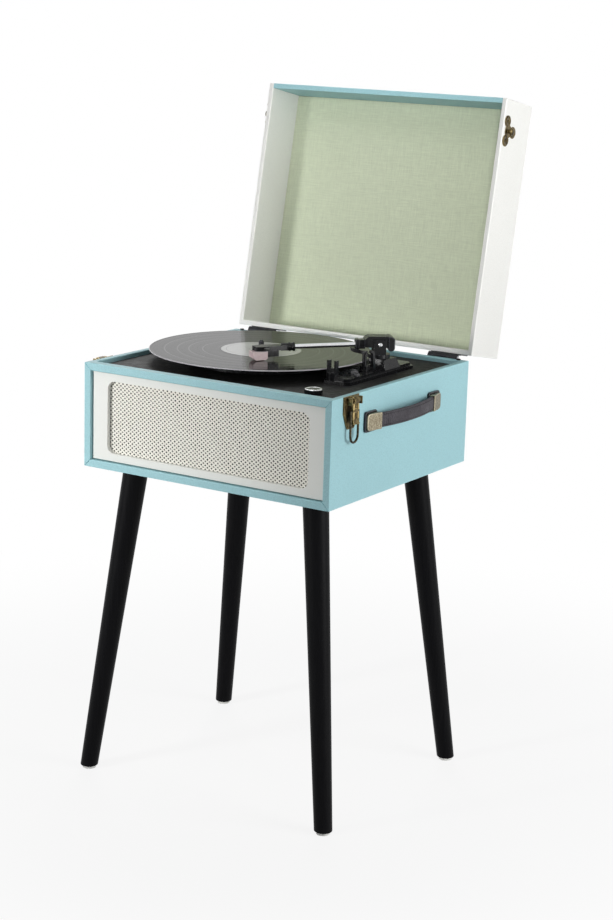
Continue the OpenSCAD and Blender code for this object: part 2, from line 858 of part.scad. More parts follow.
module volume_pot() {
    color(STEEL) difference() {
        union() {
            box([knob_x - pot_w / 2, knob_y - pot_w / 2, deck_bottom - pot_h],
                [knob_x + pot_w / 2, knob_y + pot_w / 2, deck_bottom]);
            bar_z(pot_bush_r, knob_x, knob_y, deck_bottom, deck_top + knob_rise - move_gap);
        }
        bar_z(knob_shaft_r + run_fit, knob_x, knob_y,
              deck_top + knob_rise - knob_shaft_l - move_gap, case_top);
    }
}

// Turns a piece of the closed lid about the hinge pins to where it stands open
module lid_open() {
    translate([0, hinge_y, hinge_z]) rotate([-lid_turn, 0, 0]) translate([0, -hinge_y, -hinge_z]) children();
}

// Top, sides and hinge wall of the lid, glued into one tray
module lid_shell() {
    color(CREAM) lid_open() difference() {
        box([-side_x, front_y, lid_low], [side_x, back_y, lid_high]);
        box([-side_x + lid_t, front_y - 1, lid_low - 1], [side_x - lid_t, back_y - lid_t, lid_high - lid_t]);
    }
}

module lid_front_wall() {
    color(TEAL) lid_open()
        box([-side_x + lid_t, front_y, lid_low], [side_x - lid_t, front_y + lid_t, lid_high - lid_t]);
}

module lid_lining() {
    color([0.80, 0.84, 0.74]) lid_open()
        box([-side_x + lid_t + drop_fit, front_y + lid_t + drop_fit, lid_high - lid_t - lining_t],
            [side_x - lid_t - drop_fit, back_y - lid_t - drop_fit, lid_high - lid_t]);
}

// Rubber bumpers on the back rim that the closed lid comes down on
module lid_bumpers() {
    color(BLACK) for (s = [-1, 1])
        bar_z(bumper_r, s * (side_x - bumper_inset), back_y - board_t / 2, case_top, case_top + bumper_h);
}

// The knuckles of a hinge come in thirds: the case has the outer two and the lid the middle one
module knuckle(x0, x1) {
    bar_x(knuckle_r, x0, x1, hinge_y, hinge_z);
}

module hinge_case_leaves() {
    third = hinge_l / 3;
    color(BLACK) for (s = [-1, 1]) translate([s * (side_x - hinge_inset), 0, 0]) difference() {
        union() {
            box([-hinge_l / 2, back_y, hinge_z - knuckle_r - leaf_gap - leaf_l],
                [hinge_l / 2, back_y + leaf_t, hinge_z - knuckle_r - leaf_gap]);
            for (e = [-1, 1]) translate([e * third, 0, 0]) {
                knuckle(-third / 2 + knuckle_gap, third / 2 - knuckle_gap);
                box([-third / 2 + knuckle_gap, back_y, hinge_z - knuckle_r - leaf_gap],
                    [third / 2 - knuckle_gap, hinge_y - hinge_pin_r - 1, hinge_z]);
            }
        }
        bar_x(hinge_pin_r + run_fit, -hinge_l, hinge_l, hinge_y, hinge_z);
    }
}

module hinge_lid_leaves() {
    third = hinge_l / 3;
    color(BLACK) lid_open() for (s = [-1, 1]) translate([s * (side_x - hinge_inset), 0, 0]) difference() {
        union() {
            box([-hinge_l / 2, back_y, hinge_z + knuckle_r + leaf_gap],
                [hinge_l / 2, back_y + leaf_t, hinge_z + knuckle_r + leaf_gap + leaf_l]);
            knuckle(-third / 2 + knuckle_gap, third / 2 - knuckle_gap);
            box([-third / 2 + knuckle_gap, back_y, hinge_z + parting_gap / 2],
                [third / 2 - knuckle_gap, hinge_y - hinge_pin_r - 1, hinge_z + knuckle_r + leaf_gap]);
        }
        bar_x(hinge_pin_r + run_fit, -hinge_l, hinge_l, hinge_y, hinge_z);
    }
}

module hinge_pins() {
    color(STEEL) for (s = [-1, 1]) translate([s * (side_x - hinge_inset), 0, 0])
        bar_x(hinge_pin_r, -hinge_l / 2 - 1, hinge_l / 2 + 1, hinge_y, hinge_z);
}

// Frame of a latch: X runs out from the wall, Y along it and Z up, at the lever's axis
module latch_place(s) {
    if (s > 0) translate([side_x, latch_y, lever_z]) children();
    else mirror([1, 0, 0]) translate([side_x, latch_y, lever_z]) children();
}

module latch_plates() {
    high = case_top - lever_z;
    low = high - latch_h;
    color(BRASS) for (s = [-1, 1]) latch_place(s) difference() {
        union() {
            rotate([90, 0, 90]) linear_extrude(latch_t)
                polygon([[-latch_w / 2, high], [latch_w / 2, high], [latch_w / 2, low * 0.45],
                         [latch_w * 0.3, low + 4], [latch_w * 0.2, low], [-latch_w * 0.2, low],
                         [-latch_w * 0.3, low + 4], [-latch_w / 2, low * 0.45]]);
            for (e = [-1, 1])
                box([0, e > 0 ? ear_gap : -ear_gap - ear_t, -6],
                    [lever_out + 3.5, e > 0 ? ear_gap + ear_t : -ear_gap, 3.5]);
        }
        bar_y(lever_pin_r + run_fit, lever_out, -latch_w, latch_w, 0);
    }
}

module latch_lever(s) {
    color(BRASS) latch_place(s) difference() {
        union() {
            bar_y(roll_r, lever_out, -lever_w / 2, lever_w / 2, 0);
            bar_y(lever_pin_r, lever_out, -ear_gap - ear_t, ear_gap + ear_t, 0);
            bar_y(bail_r + eye_wall, lever_out, -lever_w / 2, lever_w / 2, -bail_drop);
            translate([0, lever_w / 2, 0]) rotate([90, 0, 0]) linear_extrude(lever_w)
                polygon([[lever_out - lever_t / 2, 0], [lever_out - lever_t / 2, -lever_l + 5],
                         [lever_out + 1, -lever_l], [lever_out + 4, -lever_l],
                         [lever_out + lever_t / 2, -lever_l + 7], [lever_out + lever_t / 2, 0]]);
        }
        bar_y(bail_r + run_fit, lever_out, -lever_w, lever_w, -bail_drop);
    }
}

module left_latch_lever() {
    latch_lever(-1);
}

module right_latch_lever() {
    latch_lever(1);
}

// Wire loop whose two ends bend inwards and hook into the lever's sides
module latch_bail(s) {
    straight = bail_l - bail_half - bail_r;
    color(BRASS) latch_place(s) translate([lever_out, 0, -bail_drop]) {
        for (e = [-1, 1]) mirror([0, e > 0 ? 0 : 1, 0]) {
            bar_z(bail_r, 0, bail_half, -straight, -elbow_r);
            translate([0, bail_half - elbow_r, -elbow_r]) rotate([90, 0, 90]) rotate_extrude(angle = 90)
                translate([elbow_r, 0]) circle(r = bail_r);
            bar_y(bail_r, 0, lever_w / 2 - 2, bail_half - elbow_r, 0);
        }
        translate([0, 0, -straight]) rotate([90, 180, 90]) rotate_extrude(angle = 180)
            translate([bail_half, 0]) circle(r = bail_r);
    }
}

module left_latch_bail() {
    latch_bail(-1);
}

module right_latch_bail() {
    latch_bail(1);
}

// Three-lobed plates on the lid with a headed stud that the bail hooks over
module lid_strikes() {
    color(BRASS) lid_open() for (s = [-1, 1]) mirror([s > 0 ? 0 : 1, 0, 0])
        translate([side_x, latch_y, strike_z]) rotate([90, 0, 90]) {
            linear_extrude(strike_t) union() {
                translate([0, strike_rise / 3]) circle(r = strike_lobe_r + 1);
                for (e = [-1, 1]) translate([e * strike_spread, 0]) circle(r = strike_lobe_r);
                translate([0, strike_rise + 4]) circle(r = strike_lobe_r);
            }
            translate([0, strike_rise / 3, 0]) cylinder(r = strike_post_r, h = strike_t + strike_post_l);
            translate([0, strike_rise / 3, strike_t + strike_post_l])
                cylinder(r = strike_head_r, h = strike_head_t);
        }
}

// Places of the handle's two ends on the right wall
module handle_ends() {
    for (e = [-1, 1])
        translate([side_x, handle_y + e * handle_span / 2, handle_z]) rotate([90, 0, 90]) children();
}

module handle_brackets() {
    color(BLACK) handle_ends() linear_extrude(bracket_t) rounded(bracket_w, bracket_h, 4);
}

// Metal caps that slope up towards the strap
module handle_caps() {
    color(BRASS) for (e = [-1, 1])
        translate([side_x + bracket_t, handle_y + e * handle_span / 2, handle_z - cap_h / 2])
            mirror([0, e > 0 ? 1 : 0, 0]) linear_extrude(cap_h)
                polygon([[0, -cap_w / 2], [cap_t, -cap_w / 2], [cap_high, cap_w / 2], [0, cap_w / 2]]);
}

// Strap that bows out between the caps
module handle_strap() {
    end_x = side_x + bracket_t + (cap_high - strap_t) / 2;
    color([0.16, 0.15, 0.17])
        translate([end_x + strap_bow - strap_arc_r, handle_y, handle_z - strap_h / 2])
            rotate([0, 0, -strap_arc])
            rotate_extrude(angle = 2 * strap_arc) translate([strap_arc_r, 0]) square([strap_t, strap_h]);
}

// Middle of a leg's top, under its mounting plate
module leg_top(s) {
    translate([s[0] * leg_top_x, s[1] * leg_top_y, leg_top_z]) children();
}

// Middle of a leg's foot, on top of its glide
module foot_place(s) {
    translate([s[0] * (leg_top_x + splay_x), s[1] * (leg_top_y + splay_y), glide_h]) children();
}

// Level ring of points round a middle
function ring(middle, r) = [for (i = [0 : LEG_SIDES - 1])
    middle + r * [cos(360 * i / LEG_SIDES), sin(360 * i / LEG_SIDES), 0]];

// Splayed and tapered leg, level at both ends, with holes for its bolt and its glide's nail
module leg(s) {
    n = LEG_SIDES;
    foot = [s[0] * (leg_top_x + splay_x), s[1] * (leg_top_y + splay_y), glide_h];
    top = [s[0] * leg_top_x, s[1] * leg_top_y, leg_top_z];
    sides = [for (i = [0 : n - 1]) [i, n + i, n + (i + 1) % n, (i + 1) % n]];
    ends = [[for (i = [0 : n - 1]) i], [for (i = [n - 1 : -1 : 0]) n + i]];
    color(BLACK) difference() {
        polyhedron(concat(ring(foot, leg_foot_r), ring(top, leg_top_r)), concat(sides, ends));
        leg_top(s) translate([0, 0, -bolt_in - 1]) cylinder(r = bolt_r + run_fit, h = bolt_in + bolt_out);
        foot_place(s) translate([0, 0, -1]) cylinder(r = nail_r + run_fit, h = nail_l + 1.5);
    }
}

module leg_front_left() {
    leg(LEG_SIGNS[0]);
}

module leg_front_right() {
    leg(LEG_SIGNS[1]);
}

module leg_rear_right() {
    leg(LEG_SIGNS[2]);
}

module leg_rear_left() {
    leg(LEG_SIGNS[3]);
}

// Four screws round a leg's top
module screw_places(s) {
    for (ex = [-1, 1], ey = [-1, 1])
        translate([s[0] * leg_top_x + ex * screw_spread, s[1] * leg_top_y + ey * screw_spread, leg_top_z])
            children();
}

module leg_mounts() {
    color(STEEL) for (s = LEG_SIGNS) difference() {
        box([s[0] * leg_top_x - mount_w / 2, s[1] * leg_top_y - mount_w / 2, leg_top_z],
            [s[0] * leg_top_x + mount_w / 2, s[1] * leg_top_y + mount_w / 2, case_lift]);
        leg_top(s) cylinder(r = bolt_r + run_fit, h = 4 * mount_t, center = true);
        screw_places(s) cylinder(r = screw_r + run_fit, h = 4 * mount_t, center = true);
    }
}

module leg_bolts() {
    color(STEEL) for (s = LEG_SIGNS)
        leg_top(s) translate([0, 0, -bolt_in]) cylinder(r = bolt_r, h = bolt_in + bolt_out);
}

module leg_screws() {
    color(STEEL) for (s = LEG_SIGNS) screw_places(s) {
        translate([0, 0, -screw_head_t]) cylinder(r = screw_head_r, h = screw_head_t);
        cylinder(r = screw_r, h = screw_l);
    }
}

module leg_glides() {
    color(CREAM) for (s = LEG_SIGNS) foot_place(s) {
        translate([0, 0, -glide_h]) cylinder(r = glide_r, h = glide_h);
        cylinder(r = nail_r, h = nail_l);
    }
}

module rear_panel() {
    color(BLACK) difference() {
        translate([0, rear_t, 0]) upright(rear_w, rear_h, 4, back_y - rear_t, back_y, rear_z);
        for (x = concat([aux_x, power_x], line_x))
            bar_y(line_r + drop_fit, x, back_y - 1, back_y + rear_t + 1, rear_z);
    }
}

// Round socket in the back panel: a body behind it and a bored face, with a barrel where it has one
module socket(x, bore_r, out, deep) {
    face = back_y + rear_t;
    tip = out > 0 ? face + line_neck_l + out : face;
    difference() {
        union() {
            box([x - socket_body / 2, back_y - deep, rear_z - socket_body / 2],
                [x + socket_body / 2, back_y, rear_z + socket_body / 2]);
            bar_y(line_r + drop_fit / 2, x, back_y - 1, face - (out > 0 ? drop_fit : 0), rear_z);
            if (out > 0) {
                bar_y(line_neck_r, x, back_y, face + line_neck_l, rear_z);
                bar_y(line_r, x, face + line_neck_l, tip, rear_z);
            }
        }
        bar_y(bore_r, x, tip - deep + 2, tip + 1, rear_z);
    }
}

module rear_sockets() {
    color(STEEL) {
        socket(aux_x, aux_r, 0, aux_l + 2);
        for (x = line_x) socket(x, line_core_r, line_l, line_l + 2);
        socket(power_x, power_r, 0, power_l + 2);
    }
}

module circuit_board() {
    low = floor_inside + standoff_h;
    color([0.10, 0.35, 0.18]) translate([board_at[0], board_at[1], 0]) {
        box([-board_size[0] / 2, -board_size[1] / 2, low],
            [board_size[0] / 2, board_size[1] / 2, low + board_size[2]]);
        for (ex = [-1, 1], ey = [-1, 1])
            bar_z(standoff_r, ex * (board_size[0] / 2 - standoff_inset),
                  ey * (board_size[1] / 2 - standoff_inset),
                  floor_inside, low);
        box([-chip_size[0] / 2, -chip_size[1] / 2, low + board_size[2]],
            [chip_size[0] / 2, chip_size[1] / 2, low + board_size[2] + chip_size[2]]);
        for (i = [-1 : 1])
            bar_z(can_r, can_x, i * can_spacing, low + board_size[2], low + board_size[2] + can_h);
    }
}

placed() case_shell();
placed() front_frame();
placed() bottom_board();
placed() deck_cleats();
placed() deck_board();
placed() front_panel();
placed() grille_cloth();
placed() speaker_baffle();
placed() speaker_baskets();
placed() speaker_cones();
placed() bearing_bush();
placed() spindle();
placed() platter();
placed() platter_mat();
placed() record();
placed() record_label();
placed() motor();
placed() motor_pulley();
placed() drive_belt();
placed() tonearm_plate();
placed() arm_turret();
placed() arm_block();
placed() counterweight();
placed() arm_tube();
placed() headshell();
placed() cartridge();
placed() stylus_guard();
placed() cue_lever();
placed() lift_bar();
placed() speed_switch();
placed() stop_switch();
placed() volume_knob();
placed() volume_pot();
placed() lid_shell();
placed() lid_front_wall();
placed() lid_lining();
placed() lid_bumpers();
placed() hinge_case_leaves();
placed() hinge_lid_leaves();
placed() hinge_pins();
placed() latch_plates();
placed() left_latch_lever();
placed() right_latch_lever();
placed() left_latch_bail();
placed() right_latch_bail();
placed() lid_strikes();
placed() handle_brackets();
placed() handle_caps();
placed() handle_strap();
placed() leg_front_left();
placed() leg_front_right();
placed() leg_rear_right();
placed() leg_rear_left();
placed() leg_mounts();
placed() leg_bolts();
placed() leg_screws();
placed() leg_glides();
placed() rear_panel();
placed() rear_sockets();
placed() circuit_board();
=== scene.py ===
import json
import math

import bmesh
import bpy
from mathutils import Matrix, Vector


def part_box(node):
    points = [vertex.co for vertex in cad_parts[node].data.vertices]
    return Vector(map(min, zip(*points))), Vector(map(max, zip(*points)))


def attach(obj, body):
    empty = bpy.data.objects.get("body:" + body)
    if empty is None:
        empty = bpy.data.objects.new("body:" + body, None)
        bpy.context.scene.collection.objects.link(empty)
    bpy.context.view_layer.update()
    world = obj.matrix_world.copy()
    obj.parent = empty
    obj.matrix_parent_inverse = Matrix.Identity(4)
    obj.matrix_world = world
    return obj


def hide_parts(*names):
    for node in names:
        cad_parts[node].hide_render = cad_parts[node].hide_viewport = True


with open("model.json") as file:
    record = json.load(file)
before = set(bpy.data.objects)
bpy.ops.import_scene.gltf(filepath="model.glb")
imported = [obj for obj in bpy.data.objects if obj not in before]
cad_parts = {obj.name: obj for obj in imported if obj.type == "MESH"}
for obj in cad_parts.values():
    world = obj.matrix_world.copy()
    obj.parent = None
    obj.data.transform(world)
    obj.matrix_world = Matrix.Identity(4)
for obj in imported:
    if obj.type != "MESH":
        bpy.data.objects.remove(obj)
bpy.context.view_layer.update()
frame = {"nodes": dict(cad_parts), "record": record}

MM = 0.001
TAU = 2 * math.pi
NEAR = 0.01 * MM
NODES = frame["nodes"]
RECORD = frame["record"]
JOINT = {row["name"]: row for row in RECORD["behaviour"]["joints"]}
SLOT_OF = {row["node"]: row["material_slot"] for row in RECORD["subparts"]}

# Which body each node rides on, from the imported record
BODY_OF = {}
for body_name, body_nodes in RECORD["behaviour"]["bodies"].items():
    for node_name in body_nodes:
        BODY_OF[node_name] = body_name


def low(node):
    """The lowest corner of a node's box."""
    return Vector(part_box(node)[0])


def high(node):
    """The highest corner of a node's box."""
    return Vector(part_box(node)[1])


def middle(node):
    """The middle of a node's box."""
    return (low(node) + high(node)) / 2


# Places that several pieces share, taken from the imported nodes
CASE_X = middle("case_shell").x
CASE_Y = (low("front_frame").y + high("case_shell").y) / 2
SIDE = (high("case_shell").x - low("case_shell").x) / 2
SEAM = high("front_frame").y
AXLE = middle("record")
RECORD_R = (high("record").x - low("record").x) / 2
LATCH_Y = middle("latch_plates").y
LEVER_Z = JOINT["right_lever_turn"]["pos_m"][2]
HINGE = middle("hinge_pins")
OPENING = Matrix.Rotation(-math.radians(JOINT["lid_hinge"]["range_deg"][1]), 3, "X")

# The record's tracks, from and to these radii in millimetres, with smooth bands between them
TRACKS = ((61.5, 78.0), (79.2, 96.5), (97.7, 112.0), (113.2, 129.0), (130.2, 145.2))


# Materials

LOOK = {}


def tone(red, green, blue):
    """A screen colour as the linear one that a shader takes."""
    def linear(value):
        share = value / 255
        if share <= 0.04045:
            return share / 12.92
        return ((share + 0.055) / 1.055) ** 2.4
    return (linear(red), linear(green), linear(blue), 1.0)


def dimmed(colour, factor):
    """A colour times a factor, still opaque."""
    return tuple(min(1.0, part * factor) for part in colour[:3]) + (1.0,)


TEAL = tone(163, 208, 215)
CREAM = tone(233, 233, 229)
PANEL = tone(232, 233, 228)
LINEN = tone(200, 208, 182)
YARN = tone(249, 246, 237)


class Wiring:
    """The node tree of a material or world, with short ways to add nodes and join them."""

    def __init__(self, owner):
        owner.use_nodes = True
        self.tree = owner.node_tree

    def add(self, kind, inputs=None, **settings):
        made = self.tree.nodes.new(kind)
        for key, value in settings.items():
            setattr(made, key, value)
        for key, value in (inputs or {}).items():
            self.feed(made.inputs[key], value)
        return made

    def feed(self, socket, value):
        if isinstance(value, bpy.types.NodeSocket):
            self.tree.links.new(value, socket)
        else:
            socket.default_value = value

    def maths(self, operation, first, second=0.0, third=0.0):
        return self.add("ShaderNodeMath", {0: first, 1: second, 2: third}, operation=operation).outputs[0]

    def span(self, value, start, end, to_start=0.0, to_end=1.0, **settings):
        return self.add("ShaderNodeMapRange", {
            "Value": value, "From Min": start, "From Max": end,
            "To Min": to_start, "To Max": to_end}, **settings).outputs["Result"]


class Shade(Wiring):
    """One procedural material on the standard shader, kept in LOOK under its name."""

    def __init__(self, name, rough=0.5, metal=0.0, specular=0.5):
        material = bpy.data.materials.new(name)
        super().__init__(material)
        LOOK[name] = material
        self.inputs = self.tree.nodes["Principled BSDF"].inputs
        self.inputs["Roughness"].default_value = rough
        self.inputs["Metallic"].default_value = metal
        self.inputs["Specular IOR Level"].default_value = specular
        self.place = self.add("ShaderNodeTexCoord").outputs["Object"]

    def stretched(self, scale):
        return self.add("ShaderNodeMapping", {"Vector": self.place, "Scale": scale}).outputs["Vector"]

    def noise(self, scale, detail=3.0, rough=0.55, vector=None):
        return self.add("ShaderNodeTexNoise", {
            "Vector": vector or self.place, "Scale": scale, "Detail": detail,
            "Roughness": rough}).outputs["Fac"]

    def cells(self, scale, feature="F1"):
        inputs = {"Vector": self.place, "Scale": scale}
        return self.add("ShaderNodeTexVoronoi", inputs, feature=feature).outputs["Distance"]

    def mixed(self, factor, first, second):
        inputs = {0: factor, 6: first, 7: second}
        return self.add("ShaderNodeMix", inputs, data_type="RGBA").outputs[2]

    def between(self, value, start, end, first, second):
        """One colour below the start of a value's span, another above its end."""
        return self.mixed(self.span(value, start, end), first, second)

    def colour(self, value):
        self.feed(self.inputs["Base Color"], value)

    def rough(self, value):
        self.feed(self.inputs["Roughness"], value)

    def bump(self, height, distance, strength):
        made = self.add("ShaderNodeBump", {"Height": height, "Distance": distance, "Strength": strength})
        normal = self.inputs["Normal"]
        if normal.is_linked:
            self.feed(made.inputs["Normal"], normal.links[0].from_socket)
        self.feed(normal, made.outputs["Normal"])

    def wear_and_highlight(self, ground, edge, amount=0.6):
        """A colour that turns towards another along the rounded edges, unevenly: rubbed wear, and where the
        edge colour is much paler, a painted highlight.
        """
        # The bevel faces of rounded edges take the edge colour: wear, and a painted highlight where that
        # colour is bright
        mark = self.add("ShaderNodeAttribute", attribute_name="wear_and_highlight_edge").outputs["Fac"]
        patchy = self.span(self.noise(70.0, 4.0, 0.7), 0.25, 0.7, 0.25, 1.0)
        share = self.maths("MULTIPLY", mark, self.maths("MULTIPLY", patchy, amount))
        return self.mixed(share, ground, edge)

    def vector_maths(self, operation, first, second=(0, 0, 0)):
        return self.add("ShaderNodeVectorMath", {0: first, 1: second}, operation=operation).outputs

    def radius(self, centre):
        """Distance from an upright axis through a point."""
        moved = self.vector_maths("SUBTRACT", self.place, tuple(centre))[0]
        flat = self.vector_maths("MULTIPLY", moved, (1, 1, 0))[0]
        return self.vector_maths("LENGTH", flat)["Value"]


def coated_cloth(name, colour, rough=0.5, grain=720.0, depth=0.22 * MM, contrast=0.06, specular=0.35):
    """Coated cloth, felt or paint: fine pebbled grain, faint mottling and slightly rubbed edges."""
    made = Shade(name, rough, specular=specular)
    mottle = made.noise(9.0, 4.0, 0.6)
    fine = made.cells(grain)
    darker, paler = dimmed(colour, 1 - contrast), dimmed(colour, 1 + contrast / 2)
    ground = made.between(mottle, 0.3, 0.7, darker, paler)
    pits = made.between(fine, 0.15, 0.75, ground, dimmed(colour, 1 - 2.2 * contrast))
    made.colour(made.wear_and_highlight(pits, dimmed(colour, 1.22)))
    made.rough(made.span(made.noise(grain / 4, 2.0), 0.3, 0.7, rough - 0.06, rough + 0.08))
    made.bump(made.noise(grain * 1.7, 2.0), depth / 2, 0.6)
    made.bump(fine, depth, 0.7)


def moulded(name, colour, rough=0.4, specular=0.4, grain=1500.0, depth=0.05 * MM, edge=1.9):
    """Plastic, rubber, paper or thread with faint texture and small changes of sheen."""
    made = Shade(name, rough, specular=specular)
    shift = made.noise(45.0, 4.0, 0.6)
    ground = made.between(shift, 0.3, 0.7, dimmed(colour, 0.86), dimmed(colour, 1.12))
    # Rounded edges turn towards the edge colour: a painted highlight mixed with wear, mostly highlight when
    # the edge factor is large
    made.colour(made.wear_and_highlight(ground, dimmed(colour, edge), 0.5))
    made.rough(made.span(made.noise(160.0, 3.0), 0.3, 0.7, rough - 0.07, rough + 0.09))
    made.bump(made.noise(grain, 2.0), depth, 0.5)


def worked_metal(name, colour, rough=0.25, wear=0.0, dark=None, grain=260.0, depth=0.03 * MM,
                 edge=1.5, spots=310.0):
    """Plated or bare metal with fine scratches, and darker patches where it is aged."""
    made = Shade(name, rough, 1.0)
    streak = made.noise(grain, 4.0, 0.65, made.stretched((1.0, 6.0, 1.0)))
    ground = made.between(streak, 0.3, 0.7, dimmed(colour, 0.92), dimmed(colour, 1.04))
    if dark is not None:
        ground = made.between(made.noise(spots, 5.0, 0.65), 0.40, 0.62, dark, ground)
    # Rounded edges turn towards a paler colour: a painted highlight, with rubbed wear
    made.colour(made.wear_and_highlight(ground, dimmed(colour, edge), 0.7))
    made.rough(made.span(streak, 0.25, 0.75, rough - 0.05, rough + 0.10 + wear))
    made.bump(streak, depth, 0.4)


def linen_cloth():
    """Plain-weave lining: crossing threads of uneven thickness over a greenish ground."""
    made = Shade("lining_linen", 0.85, specular=0.15)
    across = made.noise(1.0, 3.0, 0.6, made.stretched((45.0, 900.0, 900.0)))
    along = made.noise(1.0, 3.0, 0.6, made.stretched((900.0, 60.0, 60.0)))
    both = made.maths("ADD", across, along)
    ground = made.between(both, 0.7, 1.3, dimmed(LINEN, 0.84), dimmed(LINEN, 1.08))
    stain = made.noise(5.0, 3.0)
    made.colour(made.mixed(made.span(stain, 0.35, 0.75, 0.0, 0.35), ground, dimmed(LINEN, 0.90)))
    made.bump(both, 0.25 * MM, 0.7)
    made.inputs["Sheen Weight"].default_value = 0.25
    made.inputs["Sheen Roughness"].default_value = 0.5


def yarn_cloth():
    """Thick grille yarn with twisted fibres and slightly soiled sides."""
    made = Shade("grille_yarn", 0.85, specular=0.15)
    fibre = made.noise(1700.0, 3.0, 0.6)
    soil = made.noise(60.0, 3.0)
    ground = made.between(fibre, 0.3, 0.7, dimmed(YARN, 0.86), dimmed(YARN, 1.06))
    made.colour(made.mixed(made.span(soil, 0.4, 0.75, 0.0, 0.3), ground, dimmed(YARN, 0.88)))
    made.bump(fibre, 0.2 * MM, 0.7)


def grille_shadow():
    """The dark open mesh behind the yarn, in painted shade that stands for the shadow seen through the
    weave.
    """
    made = Shade("grille_shade_backing", 0.9, specular=0.1)
    fine = made.cells(900.0)
    made.colour(made.between(fine, 0.1, 0.7, tone(26, 23, 19), tone(12, 10, 8)))
    made.bump(fine, 0.2 * MM, 0.6)


def groove_vinyl():
    """Pressed record: grooves round the spindle, smooth bands between the tracks and a painted highlight
    along the rim's upper edge.
    """
    groove_pitch = 1.1 * MM
    made = Shade("record_vinyl")
    away = made.radius(AXLE)
    rings = made.maths("SINE", made.maths("MULTIPLY", away, TAU / groove_pitch))
    loud = made.add("ShaderNodeTexNoise", {
        "W": made.maths("MULTIPLY", away, 320.0), "Scale": 1.0, "Detail": 4.0},
        noise_dimensions="1D").outputs["Fac"]
    ground = made.between(loud, 0.3, 0.7, tone(13, 12, 14), tone(24, 22, 25))
    rise = made.add("ShaderNodeSeparateXYZ", {"Vector": made.place}).outputs["Z"]
    # Painted highlight: the upper edge of the rim turns pale grey, in patches, as if it caught the light
    upper = made.span(rise, low("record").z + 0.7 * MM, low("record").z + 0.9 * MM)
    rim_highlight = made.span(away, RECORD_R - 1.1 * MM, RECORD_R - 0.8 * MM)
    patchy = made.span(made.noise(60.0, 3.0), 0.3, 0.7, 0.7, 1.0)
    share = made.maths("MULTIPLY", made.maths("MULTIPLY", upper, rim_highlight), patchy)
    made.colour(made.mixed(share, ground, tone(196, 193, 198)))
    made.rough(made.span(loud, 0.3, 0.7, 0.06, 0.16))
    # Grooves shade each other, so they mirror less than the smooth bands between the tracks
    made.inputs["IOR"].default_value = 1.22
    smooth = 0.0
    for before, after in zip(TRACKS[:-1], TRACKS[1:]):
        band = (before[1] + after[0]) / 2 * MM
        smooth = made.maths("MAXIMUM", smooth, made.maths("COMPARE", away, band, 0.9 * MM))
    made.feed(made.inputs["Specular IOR Level"], made.span(smooth, 0.0, 1.0, 0.5, 1.0))
    made.bump(rings, 0.02 * MM, 0.2)
    made.bump(loud, 0.06 * MM, 0.2)


def label_paper():
    """Plain pale record label with printed rings and paper fibre."""
    made = Shade("label_paper", 0.12, specular=0.7)
    away = made.radius(AXLE)
    fibre = made.noise(500.0, 4.0)
    ground = made.between(fibre, 0.3, 0.7, tone(184, 184, 183), tone(197, 197, 195))
    outer = made.maths("COMPARE", away, 47.0 * MM, 0.6 * MM)
    inner = made.maths("COMPARE", away, 16.5 * MM, 0.5 * MM)
    lines = made.maths("MAXIMUM", outer, inner)
    made.colour(made.mixed(made.maths("MULTIPLY", lines, 0.45), ground, tone(120, 119, 122)))
    made.bump(fibre, 0.02 * MM, 0.2)


def lacquer():
    """Black lacquered leg: long faint wood grain under a soft shine."""
    made = Shade("leg_lacquer", specular=0.06)
    grain = made.noise(1.0, 4.0, 0.6, made.stretched((420.0, 420.0, 16.0)))
    made.colour(made.between(grain, 0.3, 0.7, tone(5, 5, 7), tone(12, 12, 14)))
    made.rough(made.span(grain, 0.3, 0.7, 0.34, 0.5))
    made.bump(grain, 0.08 * MM, 0.4)


def strap_leather():
    """Dark grey grained leather, paler where the hand has rubbed it."""
    made = Shade("strap_leather", specular=0.3)
    pebble = made.cells(820.0)
    rub = made.noise(38.0, 4.0, 0.6)
    ground = made.between(rub, 0.35, 0.7, tone(56, 52, 59), tone(79, 74, 82))
    made.colour(made.between(pebble, 0.1, 0.7, ground, tone(37, 34, 40)))
    made.rough(made.span(rub, 0.3, 0.7, 0.62, 0.44))
    made.bump(pebble, 0.3 * MM, 0.8)


def raw_board():
    """Pressed board inside the case: short fibres in two browns."""
    made = Shade("raw_board", 0.8, specular=0.2)
    fibre = made.noise(1.0, 5.0, 0.65, made.stretched((300.0, 300.0, 700.0)))
    made.colour(made.between(fibre, 0.3, 0.7, tone(120, 92, 62), tone(168, 136, 98)))
    made.bump(fibre, 0.3 * MM, 0.6)


def clear_pink():
    """Translucent pink guard in front of the needle."""
    made = Shade("clear_pink", 0.18)
    haze = made.noise(220.0, 3.0)
    made.colour(made.between(haze, 0.3, 0.7, tone(232, 208, 210), tone(244, 226, 227)))
    made.inputs["Transmission Weight"].default_value = 0.5
    made.inputs["IOR"].default_value = 1.49
    made.bump(haze, 0.03 * MM, 0.3)


def circuit_green():
    """Circuit board with copper tracks under green lacquer."""
    made = Shade("circuit", 0.35)
    tracks = made.cells(160.0, "DISTANCE_TO_EDGE")
    made.colour(made.between(tracks, 0.05, 0.12, tone(38, 92, 52), tone(20, 62, 36)))
    made.bump(tracks, 0.05 * MM, 0.4)


coated_cloth("teal_vinyl", TEAL)
coated_cloth("cream_vinyl", CREAM, contrast=0.03)
coated_cloth("black_leatherette", tone(17, 16, 15), 0.6, 520.0, 0.35 * MM, 0.25, 0.2)
strap_leather()
coated_cloth("panel_paint", PANEL, 0.42, 1100.0, 0.06 * MM, 0.02, 0.4)
raw_board()
lacquer()
yarn_cloth()
grille_shadow()
linen_cloth()
label_paper()
coated_cloth("mat_felt", tone(30, 30, 32), 0.9, 1500.0, 0.3 * MM, 0.3, 0.1)
groove_vinyl()
